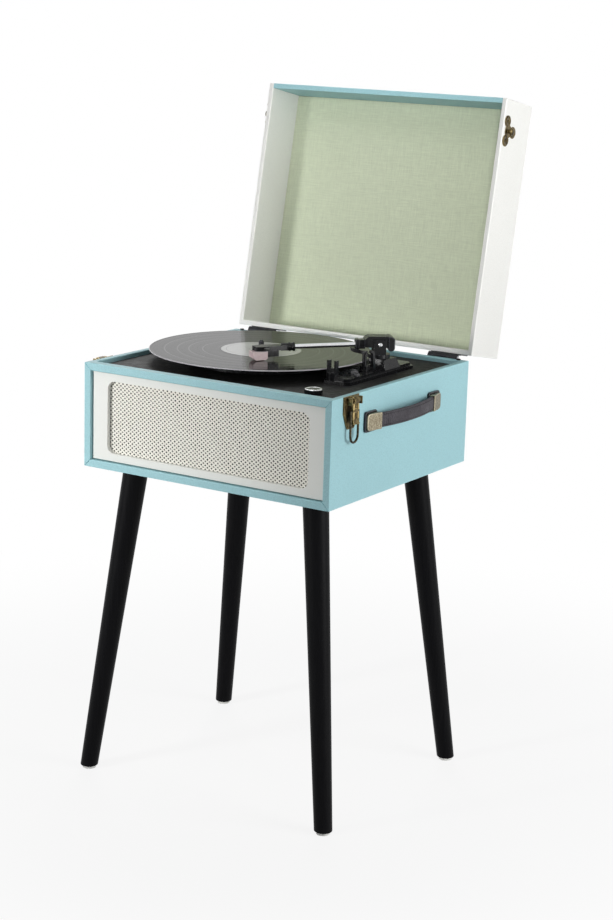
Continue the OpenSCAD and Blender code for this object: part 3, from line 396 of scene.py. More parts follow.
# The large edge factor paints bright highlights on the rounded edges of the black arm parts
moulded("black_plastic", tone(13, 13, 15), 0.24, 0.24, edge=30.0)
moulded("grey_plastic", tone(88, 88, 90), 0.42)
moulded("white_plastic", tone(226, 226, 222), 0.4)
clear_pink()
moulded("speaker_cone", tone(40, 38, 36), 0.8, 0.15, 700.0, 0.2 * MM)
circuit_green()
moulded("belt_rubber", tone(28, 27, 27), 0.7, 0.2)
moulded("bumper_rubber", tone(26, 26, 27), 0.6, 0.25)
worked_metal("silver", tone(214, 215, 217), 0.16)
# The edge factor paints a highlight along the spindle's rounded edges
worked_metal("dark_chrome", tone(52, 52, 55), 0.2, edge=3.0)
worked_metal("steel", tone(180, 181, 184), 0.3, 0.08)
worked_metal("black_steel", tone(46, 46, 48), 0.38, 0.1)
# The high edge factor paints bright highlights along the rounded edges of the latches
worked_metal("antique_brass", tone(118, 104, 70), 0.32, 0.1, tone(54, 46, 30), 240.0, 0.06 * MM, 4.2, 150.0)
worked_metal("bearing_brass", tone(196, 164, 96), 0.3)
worked_metal("pale_brass", tone(154, 147, 127), 0.36, 0.1, tone(94, 86, 70), 420.0, 0.12 * MM, 1.6, 620.0)
worked_metal("bail_wire", tone(84, 78, 62), 0.28, 0.08, tone(26, 24, 18), 300.0, 0.05 * MM)
moulded("strap_thread", tone(30, 29, 31), 0.7, 0.2, 2600.0, 0.1 * MM)


# Mesh helpers

def box_frame(origin, along, side):
    """A matrix with x along one direction, y as near as may be to another, at a point."""
    x_way = Vector(along).normalized()
    z_way = x_way.cross(Vector(side)).normalized()
    y_way = z_way.cross(x_way)
    made = Matrix((x_way, y_way, z_way)).transposed().to_4x4()
    made.translation = Vector(origin)
    return made


def polar(radius, angle):
    """A point on a circle, as x and y."""
    return radius * math.cos(angle), radius * math.sin(angle)


def circle(radius, sides):
    """A round section."""
    return [polar(radius, TAU * i / sides) for i in range(sides)]


def round_box(width, depth, radius, steps=5):
    """The outline of a rectangle with round corners, about its middle."""
    points = []
    for quarter, (x_sign, y_sign) in enumerate(((1, 1), (-1, 1), (-1, -1), (1, -1))):
        for i in range(steps + 1):
            x, y = polar(radius, (quarter + i / steps) * TAU / 4)
            points.append((x_sign * (width / 2 - radius) + x, y_sign * (depth / 2 - radius) + y))
    return points


def wear_and_highlight_layer(bm):
    """The face layer that says where an edge is rubbed and takes a painted highlight, made if it isn't there
    yet.
    """
    layers = bm.faces.layers.float
    return layers.get("wear_and_highlight_edge") or layers.new("wear_and_highlight_edge")


def bevelled(bm, edges, width, segments):
    """Round edges off and return the new faces."""
    made = bmesh.ops.bevel(bm, geom=edges, offset=width, offset_type="OFFSET", segments=segments,
                           profile=0.5, affect="EDGES", clamp_overlap=True)
    return made["faces"]


def rounded(bm, width, segments=2, limit=28.0, keep=None):
    """Round edges sharper than the limit, except those that keep() holds back, and mark the new faces for
    wear and painted highlight.
    """
    sharp = math.radians(limit)
    wear_and_highlight = wear_and_highlight_layer(bm)
    chosen = []
    for edge in bm.edges:
        if not edge.is_manifold or edge.calc_face_angle(0.0) < sharp:
            continue
        if keep is not None and keep(edge):
            continue
        chosen.append(edge)
    if chosen:
        for face in bevelled(bm, chosen, width, segments):
            face[wear_and_highlight] = 1.0


def copied(node):
    """A node's mesh as clean polygons, ready to be worked on."""
    data = NODES[node].data.copy()
    normals = data.attributes.get("custom_normal")
    if normals is not None:
        data.attributes.remove(normals)
    bm = bmesh.new()
    bm.from_mesh(data)
    bpy.data.meshes.remove(data)
    bmesh.ops.remove_doubles(bm, verts=bm.verts, dist=0.002 * MM)
    bmesh.ops.dissolve_limit(bm, angle_limit=math.radians(0.4), verts=bm.verts, edges=bm.edges)
    return bm


def piece(name, bm, look, node, beside=False, crease=38.0):
    """Turn a bmesh into a smooth piece that stands for a node, or that sits beside it on its body."""
    data = bpy.data.meshes.new(name)
    bmesh.ops.recalc_face_normals(bm, faces=bm.faces)
    bm.to_mesh(data)
    bm.free()
    for face in data.polygons:
        face.use_smooth = True
    data.set_sharp_from_angle(angle=math.radians(crease))
    made = bpy.data.objects.new(name, data)
    bpy.context.scene.collection.objects.link(made)
    data.materials.append(LOOK[look])
    weigh = made.modifiers.new("even_normals", "WEIGHTED_NORMAL")
    weigh.keep_sharp = True
    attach(made, BODY_OF[node])
    if not beside:
        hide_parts(node)
    return made


def refine(node, width, segments=2, keep=None, look=None):
    """A finer piece in place of a node, with its edges rounded by a width in millimetres."""
    bm = copied(node)
    rounded(bm, width * MM, segments, keep=keep)
    piece(node + "_fine", bm, look or SLOT_OF[node], node)


def keep_look(node, look=None):
    """A node that stays as it is, with the procedural material of its slot or another one."""
    slots = NODES[node].data.materials
    slots.clear()
    slots.append(LOOK[look or SLOT_OF[node]])


def stitch(bm, rings, around=False):
    """Faces between rings of verts; the last ring meets the first, or else both ends are capped."""
    size = len(rings[0])
    following = rings[1:] + rings[:1] if around else rings[1:]
    for here, there in zip(rings, following):
        for j in range(size):
            k = (j + 1) % size
            bm.faces.new((here[j], there[j], there[k], here[k]))
    if not around:
        bm.faces.new(list(reversed(rings[0])))
        bm.faces.new(rings[-1])


def add_lathe(bm, profile, matrix, steps):
    """Turn a closed profile of (radius, height) points round the matrix's z axis."""
    rings = []
    for i in range(steps):
        angle = TAU * i / steps
        rings.append([bm.verts.new(matrix @ Vector((*polar(radius, angle), height)))
                      for radius, height in profile])
    stitch(bm, rings, around=True)


def add_prism(bm, outline, start, end, matrix):
    """Extrude a flat outline between two heights along the matrix's z axis."""
    rings = []
    for height in (start, end):
        rings.append([bm.verts.new(matrix @ Vector((x, y, height))) for x, y in outline])
    stitch(bm, rings)


def add_sweep(bm, points, section, normal, closed=False):
    """Sweep a flat section along points; its y runs along the normal, its x square to both."""
    count = len(points)
    rings = []
    for i, point in enumerate(points):
        if closed:
            ahead, behind = points[(i + 1) % count], points[i - 1]
        else:
            ahead, behind = points[min(i + 1, count - 1)], points[max(i - 1, 0)]
        tangent = (ahead - behind).normalized()
        upright = (normal - tangent * normal.dot(tangent)).normalized()
        side = tangent.cross(upright)
        rings.append([bm.verts.new(point + side * x + upright * y) for x, y in section])
    stitch(bm, rings, closed)


def add_bead(bm, corners, radius, outward):
    """A round bead along a closed line of corners on a face that looks outward."""
    points = []
    for start, end in zip(corners, corners[1:] + corners[:1]):
        steps = max(2, int((end - start).length / (3 * radius)))
        points += [start.lerp(end, j / steps) for j in range(steps)]
    add_sweep(bm, points, circle(radius, 8), outward, closed=True)


def add_screw(bm, point, outward, radius, rise, turn, cross=True):
    """A domed screw head with a cut slot or cross, sitting on a face."""
    outward = Vector(outward)
    side = Vector((0, 0, 1)) if abs(outward.normalized().z) < 0.9 else Vector((1, 0, 0))
    matrix = box_frame(point, side.cross(outward), side) @ Matrix.Rotation(turn, 4, "Z")
    steps, dome_steps = 24, 5
    wall = 0.35
    half, reach, cut = radius * 0.13, radius * 0.62, rise * 0.5

    def depth(x, y):
        slot = abs(y) < half and abs(x) < reach
        bar = cross and abs(x) < half and abs(y) < reach
        return cut if slot or bar else 0.0

    levels = [(radius, 0.0), (radius, rise * wall)]
    for i in range(1, dome_steps + 1):
        angle = TAU / 4 * i / dome_steps
        levels.append((radius * math.cos(angle * 0.96), rise * (wall + (1 - wall) * math.sin(angle))))
    rings = []
    for ring_radius, height in levels:
        rings.append([bm.verts.new(matrix @ Vector((x, y, max(height - depth(x, y), 0.0))))
                      for x, y in circle(ring_radius, steps)])
    stitch(bm, rings)


def add_rib(bm, lo, hi, width):
    """A block between two corners with rounded edges, marked all over for the pale edge colour, which paints
    a highlight.
    """
    wear_and_highlight = wear_and_highlight_layer(bm)
    earlier = set(bm.faces)
    lo, hi = Vector(lo), Vector(hi)
    shape = Matrix.Translation((lo + hi) / 2) @ Matrix.Diagonal((*(hi - lo), 1.0))
    made = bmesh.ops.create_cube(bm, size=1.0, matrix=shape)
    edges = {edge for vert in made["verts"] for edge in vert.link_edges}
    bevelled(bm, list(edges), width, 2)
    for face in bm.faces:
        if face not in earlier:
            face[wear_and_highlight] = 1.0


def metres(*pairs):
    """Pairs of millimetres as pairs of metres."""
    return [(first * MM, second * MM) for first, second in pairs]


# Camera at the photograph's viewing angle

AZIMUTH, ELEVATION, ROLL = math.radians(32.3), math.radians(13.3), math.radians(1.7)
DISTANCE, AIM_UP = 2.760, 0.520
SHIFT_RIGHT, SHIFT_UP = 0.037, -0.083
FOCAL_PIXELS, PHOTO_HEIGHT, SENSOR = 2060, 920, 36.0


def add_camera():
    """A camera that sees the part as the photograph does."""
    level = math.cos(ELEVATION)
    back = Vector((math.sin(AZIMUTH) * level, -math.cos(AZIMUTH) * level, math.sin(ELEVATION)))
    flat_right = Vector((math.cos(AZIMUTH), math.sin(AZIMUTH), 0))
    flat_up = back.cross(flat_right)
    right = flat_right * math.cos(ROLL) + flat_up * math.sin(ROLL)
    up = flat_up * math.cos(ROLL) - flat_right * math.sin(ROLL)
    aim = Vector((CASE_X, CASE_Y, AIM_UP))
    lens = bpy.data.cameras.new("camera")
    lens.sensor_width = SENSOR
    lens.lens = FOCAL_PIXELS * SENSOR / PHOTO_HEIGHT
    lens.clip_end = 50.0
    camera = bpy.data.objects.new("camera", lens)
    turned = Matrix((right, up, back)).transposed().to_4x4()
    turned.translation = aim + back * DISTANCE + right * SHIFT_RIGHT + up * SHIFT_UP
    camera.matrix_world = turned
    scene = bpy.context.scene
    scene.collection.objects.link(camera)
    scene.camera = camera
    scene.view_settings.view_transform = "Standard"


add_camera()


# Case, front and deck

def on_seam(edge):
    """True for an edge on the hidden joint between the front frame and the shell."""
    return all(abs(vert.co.y - SEAM) < NEAR for vert in edge.verts)


def front_rails():
    """Four covered rails with mitred corners round the front."""
    lo, hi = low("front_frame"), high("front_frame")
    border, slit, edge = 10 * MM, 0.12 * MM, 0.9 * MM
    swapped = Matrix(((1, 0, 0, 0), (0, 0, 1, 0), (0, 1, 0, 0), (0, 0, 0, 1)))

    def rectangle(inset):
        left, right, base, top = lo.x + inset, hi.x - inset, lo.z + inset, hi.z - inset
        return [Vector(corner) for corner in ((left, base), (right, base), (right, top), (left, top))]

    outer, inner = rectangle(0.0), rectangle(border)
    bm = bmesh.new()
    for i in range(4):
        j = (i + 1) % 4
        run = (outer[j] - outer[i]).normalized() * slit
        rail = (outer[i] + run, outer[j] - run, inner[j] - run, inner[i] + run)
        add_prism(bm, rail, lo.y, hi.y, swapped)
    bmesh.ops.recalc_face_normals(bm, faces=bm.faces)
    rounded(bm, edge, 3, keep=on_seam)
    piece("front_frame_rails", bm, "teal_vinyl", "front_frame")


def loose_panel():
    """The front panel with a shadow gap all round it, between it and the rails."""
    bm = copied("front_panel")
    lo, hi = low("front_panel"), high("front_panel")
    gap = 1.2 * MM
    for vert in bm.verts:
        for axis in (0, 2):
            if vert.co[axis] < lo[axis] + NEAR:
                vert.co[axis] += gap
            elif vert.co[axis] > hi[axis] - NEAR:
                vert.co[axis] -= gap
    rounded(bm, 1.4 * MM, 4)
    piece("front_panel_loose", bm, "panel_paint", "front_panel")


def woven_grille():
    """Slanting yarns that cross over and under, in front of a dark open mesh in painted shade."""
    lo, hi = low("grille_cloth"), high("grille_cloth")
    pitch, thick, wave = 4.15 * MM, 0.7 * MM, 0.30 * MM
    rising, falling = 2.1 * MM, 2.3 * MM
    slope = math.radians(39.5)
    play = 0.03 * MM
    centre = (lo + hi) / 2
    half_x, half_z = (hi.x - lo.x) / 2 - MM, (hi.z - lo.z) / 2 - MM
    depth = lo.y + thick / 2 + wave + play
    crossing = pitch / math.sin(2 * slope)
    step = crossing / 3
    reach = int((half_x * math.sin(slope) + half_z * math.cos(slope)) / pitch) + 1
    bm = bmesh.new()
    for family, (way, wide) in enumerate(((1, rising), (-1, falling))):
        shoulder, bulge = wide * 0.36, thick * 0.38
        section = [(-wide / 2, 0.0), (-shoulder, -bulge), (0.0, -thick / 2), (shoulder, -bulge),
                   (wide / 2, 0.0), (0.0, thick / 2)]
        along = Vector((math.cos(slope), 0, math.sin(slope) * way))
        across = Vector((-math.sin(slope) * way, 0, math.cos(slope)))
        for row in range(-reach, reach + 1):
            start = across * (row * pitch)
            spans = []
            for place, share, half in ((start.x, along.x, half_x), (start.z, along.z, half_z)):
                spans.append(sorted(((-half - place) / share, (half - place) / share)))
            begin, end = max(span[0] for span in spans), min(span[1] for span in spans)
            if end - begin < 2 * pitch:
                continue
            # A yarn meets the other family's yarns at even steps from where it passes the middle row
            offset = row * pitch / math.tan(2 * slope)
            points = []
            for i in range(math.ceil(begin / step), math.floor(end / step) + 1):
                run = i * step
                turns = (run - offset * way) / crossing
                lift = wave * math.cos(math.pi * (turns + row + family))
                flat = centre + start + along * run
                points.append(Vector((flat.x, depth - lift, flat.z)))
            add_sweep(bm, points, section, Vector((0, 1, 0)))
    yarns = piece("grille_yarns", bm, "grille_yarn", "grille_cloth", beside=True, crease=60.0)

    # A dark sheet behind the yarn: painted shade for the gaps in the weave
    columns, rows = 40, 14
    front, rear = depth + thick / 2 + wave + 0.05 * MM, hi.y - 0.1 * MM
    heights = [lo.z + (hi.z - lo.z) * j / rows for j in range(rows + 1)]
    outline = [(front, z) for z in heights] + [(rear, z) for z in reversed(heights)]
    bm = bmesh.new()
    rings = []
    for i in range(columns + 1):
        x = lo.x + (hi.x - lo.x) * i / columns
        rings.append([bm.verts.new((x, y, z)) for y, z in outline])
    stitch(bm, rings)
    cloth = piece("grille_shade_backing", bm, "grille_shade_backing", "grille_cloth")


refine("case_shell", 1.3, 3, keep=on_seam)
front_rails()
loose_panel()
refine("deck_board", 0.5)
refine("bottom_board", 0.6, keep=on_seam)
for inside in ("deck_cleats", "speaker_baffle", "speaker_baskets", "speaker_cones", "bearing_bush", "motor",
               "motor_pulley", "drive_belt", "volume_pot", "leg_bolts", "circuit_board", "platter"):
    keep_look(inside)
for fixing in ("leg_mounts", "leg_screws"):
    keep_look(fixing, "black_steel")
woven_grille()


# Turntable

SPINNING = Matrix.Translation((AXLE.x, AXLE.y, 0))
RECORD_HOLE = 3.62 * MM


def record_disc():
    """A twelve-inch record with its rim, tracks and run-out, and its label."""
    base, top = low("record").z, high("record").z
    label = (high("record_label").x - low("record_label").x) / 2
    step, slant, radius = 0.10 * MM, 0.5 * MM, RECORD_R
    sunk = top - 2.2 * step
    profile = [(RECORD_HOLE, base + 0.2 * MM), (RECORD_HOLE, top - 0.2 * MM),
               (RECORD_HOLE + 0.25 * MM, top), (label + 0.4 * MM, top), (label + 0.9 * MM, top - step)]
    for start, end in metres(*TRACKS):
        profile += [(start, sunk), (start + slant, top - step), (end - slant, top - step), (end, sunk)]
    profile += [(radius - 3.2 * MM, sunk), (radius - 2.2 * MM, top - 0.2 * step),
                (radius - 1.0 * MM, top - 0.2 * step), (radius - 0.25 * MM, top - 3 * step),
                (radius, (top + base) / 2), (radius - 0.25 * MM, base + 3 * step),
                (radius - 1.0 * MM, base), (radius - 2.4 * MM, base), (radius - 3.4 * MM, base + step),
                (label + 1.0 * MM, base + step), (label, base)]
    bm = bmesh.new()
    add_lathe(bm, profile, SPINNING, 192)
    piece("record_disc", bm, "record_vinyl", "record", crease=50.0)

    base, top = low("record_label").z, high("record_label").z
    hole, pressed = RECORD_HOLE + 0.1 * MM, top - 0.09 * MM
    profile = [(hole, base), (hole, top), (15.4 * MM, top), (16.0 * MM, pressed), (17.0 * MM, pressed),
               (17.6 * MM, top), (label - 0.3 * MM, top), (label, top - 0.08 * MM), (label, base)]
    bm = bmesh.new()
    add_lathe(bm, profile, SPINNING, 128)
    piece("record_label_disc", bm, "label_paper", "record_label", crease=50.0)


def felt_mat():
    """The felt slip mat between the platter and the record."""
    lo, hi = low("platter_mat"), high("platter_mat")
    radius = (hi.x - lo.x) / 2
    hole = 4.0 * MM
    profile = [(hole, lo.z + 0.2 * MM), (hole + 0.2 * MM, hi.z), (radius - 0.5 * MM, hi.z),
               (radius, hi.z - 0.4 * MM), (radius, lo.z + 0.3 * MM), (radius - 0.3 * MM, lo.z),
               (hole + 0.2 * MM, lo.z)]
    bm = bmesh.new()
    add_lathe(bm, profile, SPINNING, 128)
    mat = piece("felt_mat", bm, "mat_felt", "platter_mat")


record_disc()
refine("spindle", 0.4, look="dark_chrome")
felt_mat()


# Tonearm and controls

# The arm's tube falls by this many degrees, and its collar is this many millimetres from the pivot
TUBE_FALL, TUBE_REACH = 2.7, 116.0


def arm_fittings():
    """Flange on the neck, ridged collar at the head and the screws that the arm tilts on."""
    pivot, axis = Vector(JOINT["arm_lift"]["pos_m"]), Vector(JOINT["arm_lift"]["axis"])
    along = Vector((-axis.y, axis.x, 0))
    across = Vector((0, 0, 1)).cross(along)
    local = box_frame(pivot, along, across)
    sideways = Matrix(((0, 0, 1, 0), (1, 0, 0, 0), (0, 1, 0, 0), (0, 0, 0, 1)))
    flange_out, flange_drop, flange_t = 27.2 * MM, 0.9 * MM, 4.2 * MM
    bm = bmesh.new()
    add_prism(bm, round_box(15.0 * MM, 13.8 * MM, 2.4 * MM), 0.0, flange_t,
              local @ Matrix.Translation((flange_out, 0, -flange_drop)) @ sideways)
    bmesh.ops.recalc_face_normals(bm, faces=bm.faces)
    rounded(bm, 0.6 * MM)
    piece("arm_block_flange", bm, "black_plastic", "arm_block", beside=True)

    tube = local @ Matrix.Rotation(math.radians(TUBE_FALL), 4, "Y") @ Matrix.Rotation(TAU / 4, 4, "Y")
    bore, edge, slant = 4.6, 0.5, 0.6
    bm = bmesh.new()
    for before, after, radius in ((-4.4, -1.2, 6.1), (1.2, 4.2, 5.9), (5.4, 6.6, 5.5)):
        start, end = TUBE_REACH + before, TUBE_REACH + after
        ridge = metres((bore, start), (bore, end), (radius - edge, end), (radius, end - slant),
                       (radius, start + slant), (radius - edge, start))
        add_lathe(bm, ridge, tube, 40)
    piece("headshell_collar", bm, "black_plastic", "headshell", beside=True)

    screw_out = 13.4 * MM
    bm = bmesh.new()
    for hand in (-1, 1):
        point = local @ Vector((0, hand * screw_out, 0))
        add_screw(bm, point, across * hand, 2.6 * MM, 1.1 * MM, 0.5)
    piece("arm_block_screws", bm, "silver", "arm_block", beside=True)


def knurled_knob():
    """Volume knob: a ribbed black skirt, a bright turned ring and a dished black top."""
    lo, hi = low("volume_knob"), high("volume_knob")
    centre = Vector(((lo.x + hi.x) / 2, (lo.y + hi.y) / 2, 0))
    radius = (hi.x - lo.x) / 2
    bm = copied("volume_knob")
    rounded(bm, 0.4 * MM)
    piece("volume_knob_core", bm, "black_plastic", "volume_knob")

    teeth, tooth, skin, wall = 48, 0.32 * MM, 0.10 * MM, 0.6 * MM
    bottom, top = high("deck_board").z + 1.2 * MM, hi.z - 1.1 * MM
    angles = [TAU * i / (teeth * 4) for i in range(teeth * 4)]
    outer = [polar(radius + skin + tooth * max(0.0, math.sin(angle * teeth)), angle) for angle in angles]
    inner = [polar(radius - wall, angle) for angle in angles]
    bm = bmesh.new()
    rings = []
    for outline, height in ((outer, bottom), (outer, top), (inner, top), (inner, bottom)):
        rings.append([bm.verts.new(centre + Vector((x, y, height))) for x, y in outline])
    stitch(bm, rings, around=True)
    piece("volume_knob_grip", bm, "black_plastic", "volume_knob", beside=True,
          crease=30.0)

    # Steps from the knob's radius and from its top, in millimetres
    shape = metres((-2.2, -0.3), (-1.9, 0.25), (-1.1, 0.45), (-0.3, 0.2), (0.15, -0.5), (0.1, -1.0),
                   (-1.2, -1.0))
    bm = bmesh.new()
    add_lathe(bm, [(radius + out, hi.z + up) for out, up in shape], Matrix.Translation(centre), 96)
    piece("volume_knob_ring", bm, "silver", "volume_knob", beside=True)


for moving, edge_width in (("tonearm_plate", 1.0), ("arm_turret", 0.8), ("arm_block", 0.8),
                           ("counterweight", 1.4)):
    refine(moving, edge_width, 3)
refine("arm_tube", 0.3)
refine("headshell", 0.8, 3)
arm_fittings()
for moving, edge_width in (("cartridge", 0.5), ("stylus_guard", 0.5), ("cue_lever", 0.5), ("lift_bar", 0.4),
                           ("speed_switch", 0.4), ("stop_switch", 0.4)):
    refine(moving, edge_width)
knurled_knob()


# Lid

def lid_lining():
    """Linen lining glued into the lid, with its edge turned over a thin card."""
    bm = copied("lid_lining")
    rounded(bm, 0.6 * MM)
    lining = piece("lid_lining_linen", bm, "lining_linen", "lid_lining")


refine("lid_shell", 1.4, 3)
refine("lid_front_wall", 0.8)
lid_lining()
refine("lid_bumpers", 0.4)
for hinge_node in ("hinge_case_leaves", "hinge_lid_leaves", "hinge_pins"):
    refine(hinge_node, 0.3)


# Latches

# How far the plate's face, the lever's pin and the lever's face stand out from the case's side
PLATE_OUT, PIVOT_OUT, LEVER_OUT = 1.5 * MM, 6.5 * MM, 8.0 * MM


def latch_plates():
    """Cast latch plates with a beaded edge, screws and the heads of the levers' pins."""
    bm = copied("latch_plates")
    rounded(bm, 0.35 * MM)
    lo, hi = low("latch_plates"), high("latch_plates")
    top = high("case_shell").z
    half, tall = (hi.y - lo.y) / 2, top - lo.z
    # Shares of the plate's half width, and of its height from the top down
    outline = ((-0.92, 0.03), (0.92, 0.03), (0.92, 0.46), (0.52, 0.86), (0.33, 0.965), (-0.33, 0.965),
               (-0.52, 0.86), (-0.92, 0.46))
    screws = ((-0.68, 0.30), (0.68, 0.30), (0.0, 0.90))
    pin_head = metres((0.2, -0.4), (2.4, -0.4), (2.4, 0.3), (1.7, 0.8), (0.2, 0.9))
    pin_end = 12.4 * MM

    def on_plate(hand, across, down):
        return Vector((CASE_X + hand * (SIDE + PLATE_OUT), LATCH_Y + across * half, top - down * tall))

    for hand in (-1, 1):
        outward = Vector((hand, 0, 0))
        add_bead(bm, [on_plate(hand, *corner) for corner in outline], 0.75 * MM, outward)
        for across, down in screws:
            add_screw(bm, on_plate(hand, across, down), outward, 1.9 * MM, 0.9 * MM, 0.6 * across)
        for end in (-1, 1):
            ear = (CASE_X + hand * (SIDE + PIVOT_OUT), LATCH_Y + end * pin_end, LEVER_Z)
            add_lathe(bm, pin_head, box_frame(ear, (0, 0, 1), (hand * end, 0, 0)), 24)
    piece("latch_plates_cast", bm, "antique_brass", "latch_plates")


def latch_lever(name, hand):
    """A cast lever with ribs in painted highlight, slotted screws and rings round its pin, and its wire
    loop.
    """
    node = name + "_latch_lever"
    bm = copied(node)
    rounded(bm, 0.5 * MM)
    face = CASE_X + hand * (SIDE + LEVER_OUT)
    left, right = sorted((face - hand * 0.4 * MM, face + hand * 0.9 * MM))
    # The ribs take the pale edge colour all over: a painted highlight
    for y in (-5.4, 5.4):
        add_rib(bm, (left, LATCH_Y + (y - 1.5) * MM, LEVER_Z - 24.0 * MM),
                (right, LATCH_Y + (y + 1.5) * MM, LEVER_Z - 4.5 * MM), 0.5 * MM)
    for drop in (7.7, 20.0):
        point = (face - hand * 0.1 * MM, LATCH_Y, LEVER_Z - drop * MM)
        add_screw(bm, point, (hand, 0, 0), 2.0 * MM, 0.9 * MM, drop, cross=False)
    ring = metres((4.2, -0.9), (4.75, -0.6), (4.75, 0.6), (4.2, 0.9))
    for y in (-4.6, 0.0, 4.6):
        point = (CASE_X + hand * (SIDE + PIVOT_OUT), LATCH_Y + y * MM, LEVER_Z)
        add_lathe(bm, ring, box_frame(point, (0, 0, 1), (1, 0, 0)), 32)
    piece(node + "_cast", bm, "antique_brass", node)
    keep_look(name + "_latch_bail", "bail_wire")


def opened(point):
    """Where a point of the closed lid is when the lid stands open, as it is at rest."""
    return HINGE + OPENING @ (Vector(point) - HINGE)


def lid_strikes():
    """Three-lobed plates on the lid with dished lobes, screws and a headed stud."""
    bm = copied("lid_strikes")
    rounded(bm, 0.4 * MM)
    base = high("case_shell").z + 12.0 * MM
    up = OPENING @ Vector((0, 0, 1))
    lobe = metres((0.3, -0.3), (7.4, -0.3), (7.4, 0.2), (6.6, 0.9), (5.4, 0.7), (3.2, 0.25), (0.3, 0.25))
    cap = metres((0.2, -0.1), (4.6, -0.1), (4.3, 0.3), (2.6, 0.8), (0.2, 0.95))
    dish = Vector((0, 0, 0.25 * MM))
    plate_out, stud_out, stud_rise = 1.0, 7.5, 4.67

    def seat(hand, out, along, rise):
        point = opened((CASE_X + hand * (SIDE + out * MM), LATCH_Y + along * MM, base + rise * MM))
        return box_frame(point, up, Vector((hand, 0, 0)).cross(up))

    for hand in (-1, 1):
        for along, rise in ((-13.0, 0.0), (13.0, 0.0), (0.0, 18.0)):
            place = seat(hand, plate_out, along, rise)
            add_lathe(bm, lobe, place, 32)
            add_screw(bm, place @ dish, (hand, 0, 0), 2.2 * MM, 1.0 * MM, along)
        add_lathe(bm, cap, seat(hand, stud_out, 0.0, stud_rise), 32)
    piece("lid_strikes_cast", bm, "antique_brass", "lid_strikes")


latch_plates()
latch_lever("left", -1)
latch_lever("right", 1)
lid_strikes()


# Handle

STRAP_T = 5.0 * MM
CAP_W, CAP_THIN = 26.0 * MM, 2.5 * MM


def strap_arc():
    """Radius and half angle of the strap's inner face, from its box and thickness."""
    lo, hi = low("handle_strap"), high("handle_strap")
    reach, rise = (hi.y - lo.y) / 2, hi.x - lo.x
    near, far = 0.05, 1.0
    for _ in range(60):
        radius = (near + far) / 2
        half = math.asin(min(1.0, reach / (radius + STRAP_T)))
        if radius + STRAP_T - radius * math.cos(half) > rise:
            near = radius
        else:
            far = radius
    return radius, half


def handle_strap():
    """Leather strap with three grooves near its front end and stitches along both edges."""
    lo, hi = low("handle_strap"), high("handle_strap")
    radius, half = strap_arc()
    centre = Vector((hi.x - radius - STRAP_T, (lo.y + hi.y) / 2, (lo.z + hi.z) / 2))
    tall = (hi.z - lo.z) / 2
    grooves = [-half * radius + distance * MM for distance in (8.5, 12.0, 15.5)]
    groove_w, groove_d, end_nip = 0.75 * MM, 0.8 * MM, 0.7 * MM
    steps = 132
    bm = bmesh.new()
    rings = []
    for i in range(steps + 1):
        angle = -half + 2 * half * i / steps
        run = angle * radius
        dip = sum(math.exp(-((run - groove) / groove_w) ** 2) for groove in grooves) * groove_d
        nip = end_nip * math.exp(-min(i, steps - i) / 3.0)
        outer = STRAP_T - dip
        upper = [(0.0, tall - 1.2 * MM), (0.5 * MM, tall - 0.5 * MM), (1.6 * MM, tall - nip),
                 (2.6 * MM, tall - nip), (3.6 * MM - 0.3 * dip, tall - 0.6 * MM - nip),
                 (outer - 0.7 * MM, tall - 2.4 * MM), (outer - 0.15 * MM, tall - 4.5 * MM)]
        section = upper + [(outer, 0.0)] + [(out, -height) for out, height in reversed(upper)]
        rings.append([bm.verts.new(centre + Vector((*polar(radius + out, angle), height)))
                      for out, height in section])
    stitch(bm, rings)
    piece("handle_strap_leather", bm, "strap_leather", "handle_strap", crease=50.0)

    stitches, thread = 34, circle(0.34 * MM, 6)
    edge, sunk, spared, share = 2.9 * MM, 0.62 * MM, 1.6 * MM, 0.93
    shape = metres((-1.25, -0.25), (-0.8, 0.12), (0.0, 0.22), (0.8, 0.12), (1.25, -0.25))
    bm = bmesh.new()
    for height in (tall - edge, edge - tall):
        for i in range(stitches):
            angle = half * share * (2 * (i + 0.5) / stitches - 1)
            if min(abs(angle * radius - groove) for groove in grooves) < spared:
                continue
            facing = Vector((*polar(1.0, angle), 0))
            along = Vector((-facing.y, facing.x, 0))
            place = centre + facing * (radius + STRAP_T - sunk) + Vector((0, 0, height))
            add_sweep(bm, [place + along * run + facing * rise for run, rise in shape], thread, facing)
    piece("handle_strap_stitches", bm, "strap_thread", "handle_strap", beside=True, crease=60.0)


def handle_caps():
    """Cast caps on the strap's ends, sloping down to an outer end with round corners."""
    lo, hi = low("handle_caps"), high("handle_caps")
    thick, tall, level = hi.x - lo.x, (hi.z - lo.z) / 2, (lo.z + hi.z) / 2
    corner, steps = 5.0 * MM, 24
    shape = [(CAP_W, -tall), (CAP_W, tall)]
    for i in range(steps + 1):
        y, z = polar(corner, TAU / 4 + TAU / 2 * i / steps)
        # 1 round the upper corner, -1 round the lower one and 0 halfway between them
        end = (2 * i < steps) - (2 * i > steps)
        shape.append((corner + y, (tall - corner) * end + z))
    bm = bmesh.new()
    for hand, outer_y in ((-1, lo.y), (1, hi.y)):
        base, top = [], []
        for inward, z in shape:
            place = outer_y - hand * inward
            rise = CAP_THIN + (thick - CAP_THIN) * inward / CAP_W
            base.append(bm.verts.new((lo.x, place, level + z)))
            top.append(bm.verts.new((lo.x + rise, place, level + z)))
        stitch(bm, [base, top])
    bmesh.ops.recalc_face_normals(bm, faces=bm.faces)
    rounded(bm, 0.9 * MM, 3, 50.0)
    piece("handle_caps_cast", bm, "pale_brass", "handle_caps")


refine("handle_brackets", 1.3, 3)
handle_strap()
handle_caps()


# Legs, glides and back

HINGE_INSET, LEAF_OUT, LEAF_MIDDLE = 43.0 * MM, 1.5 * MM, 16.6 * MM


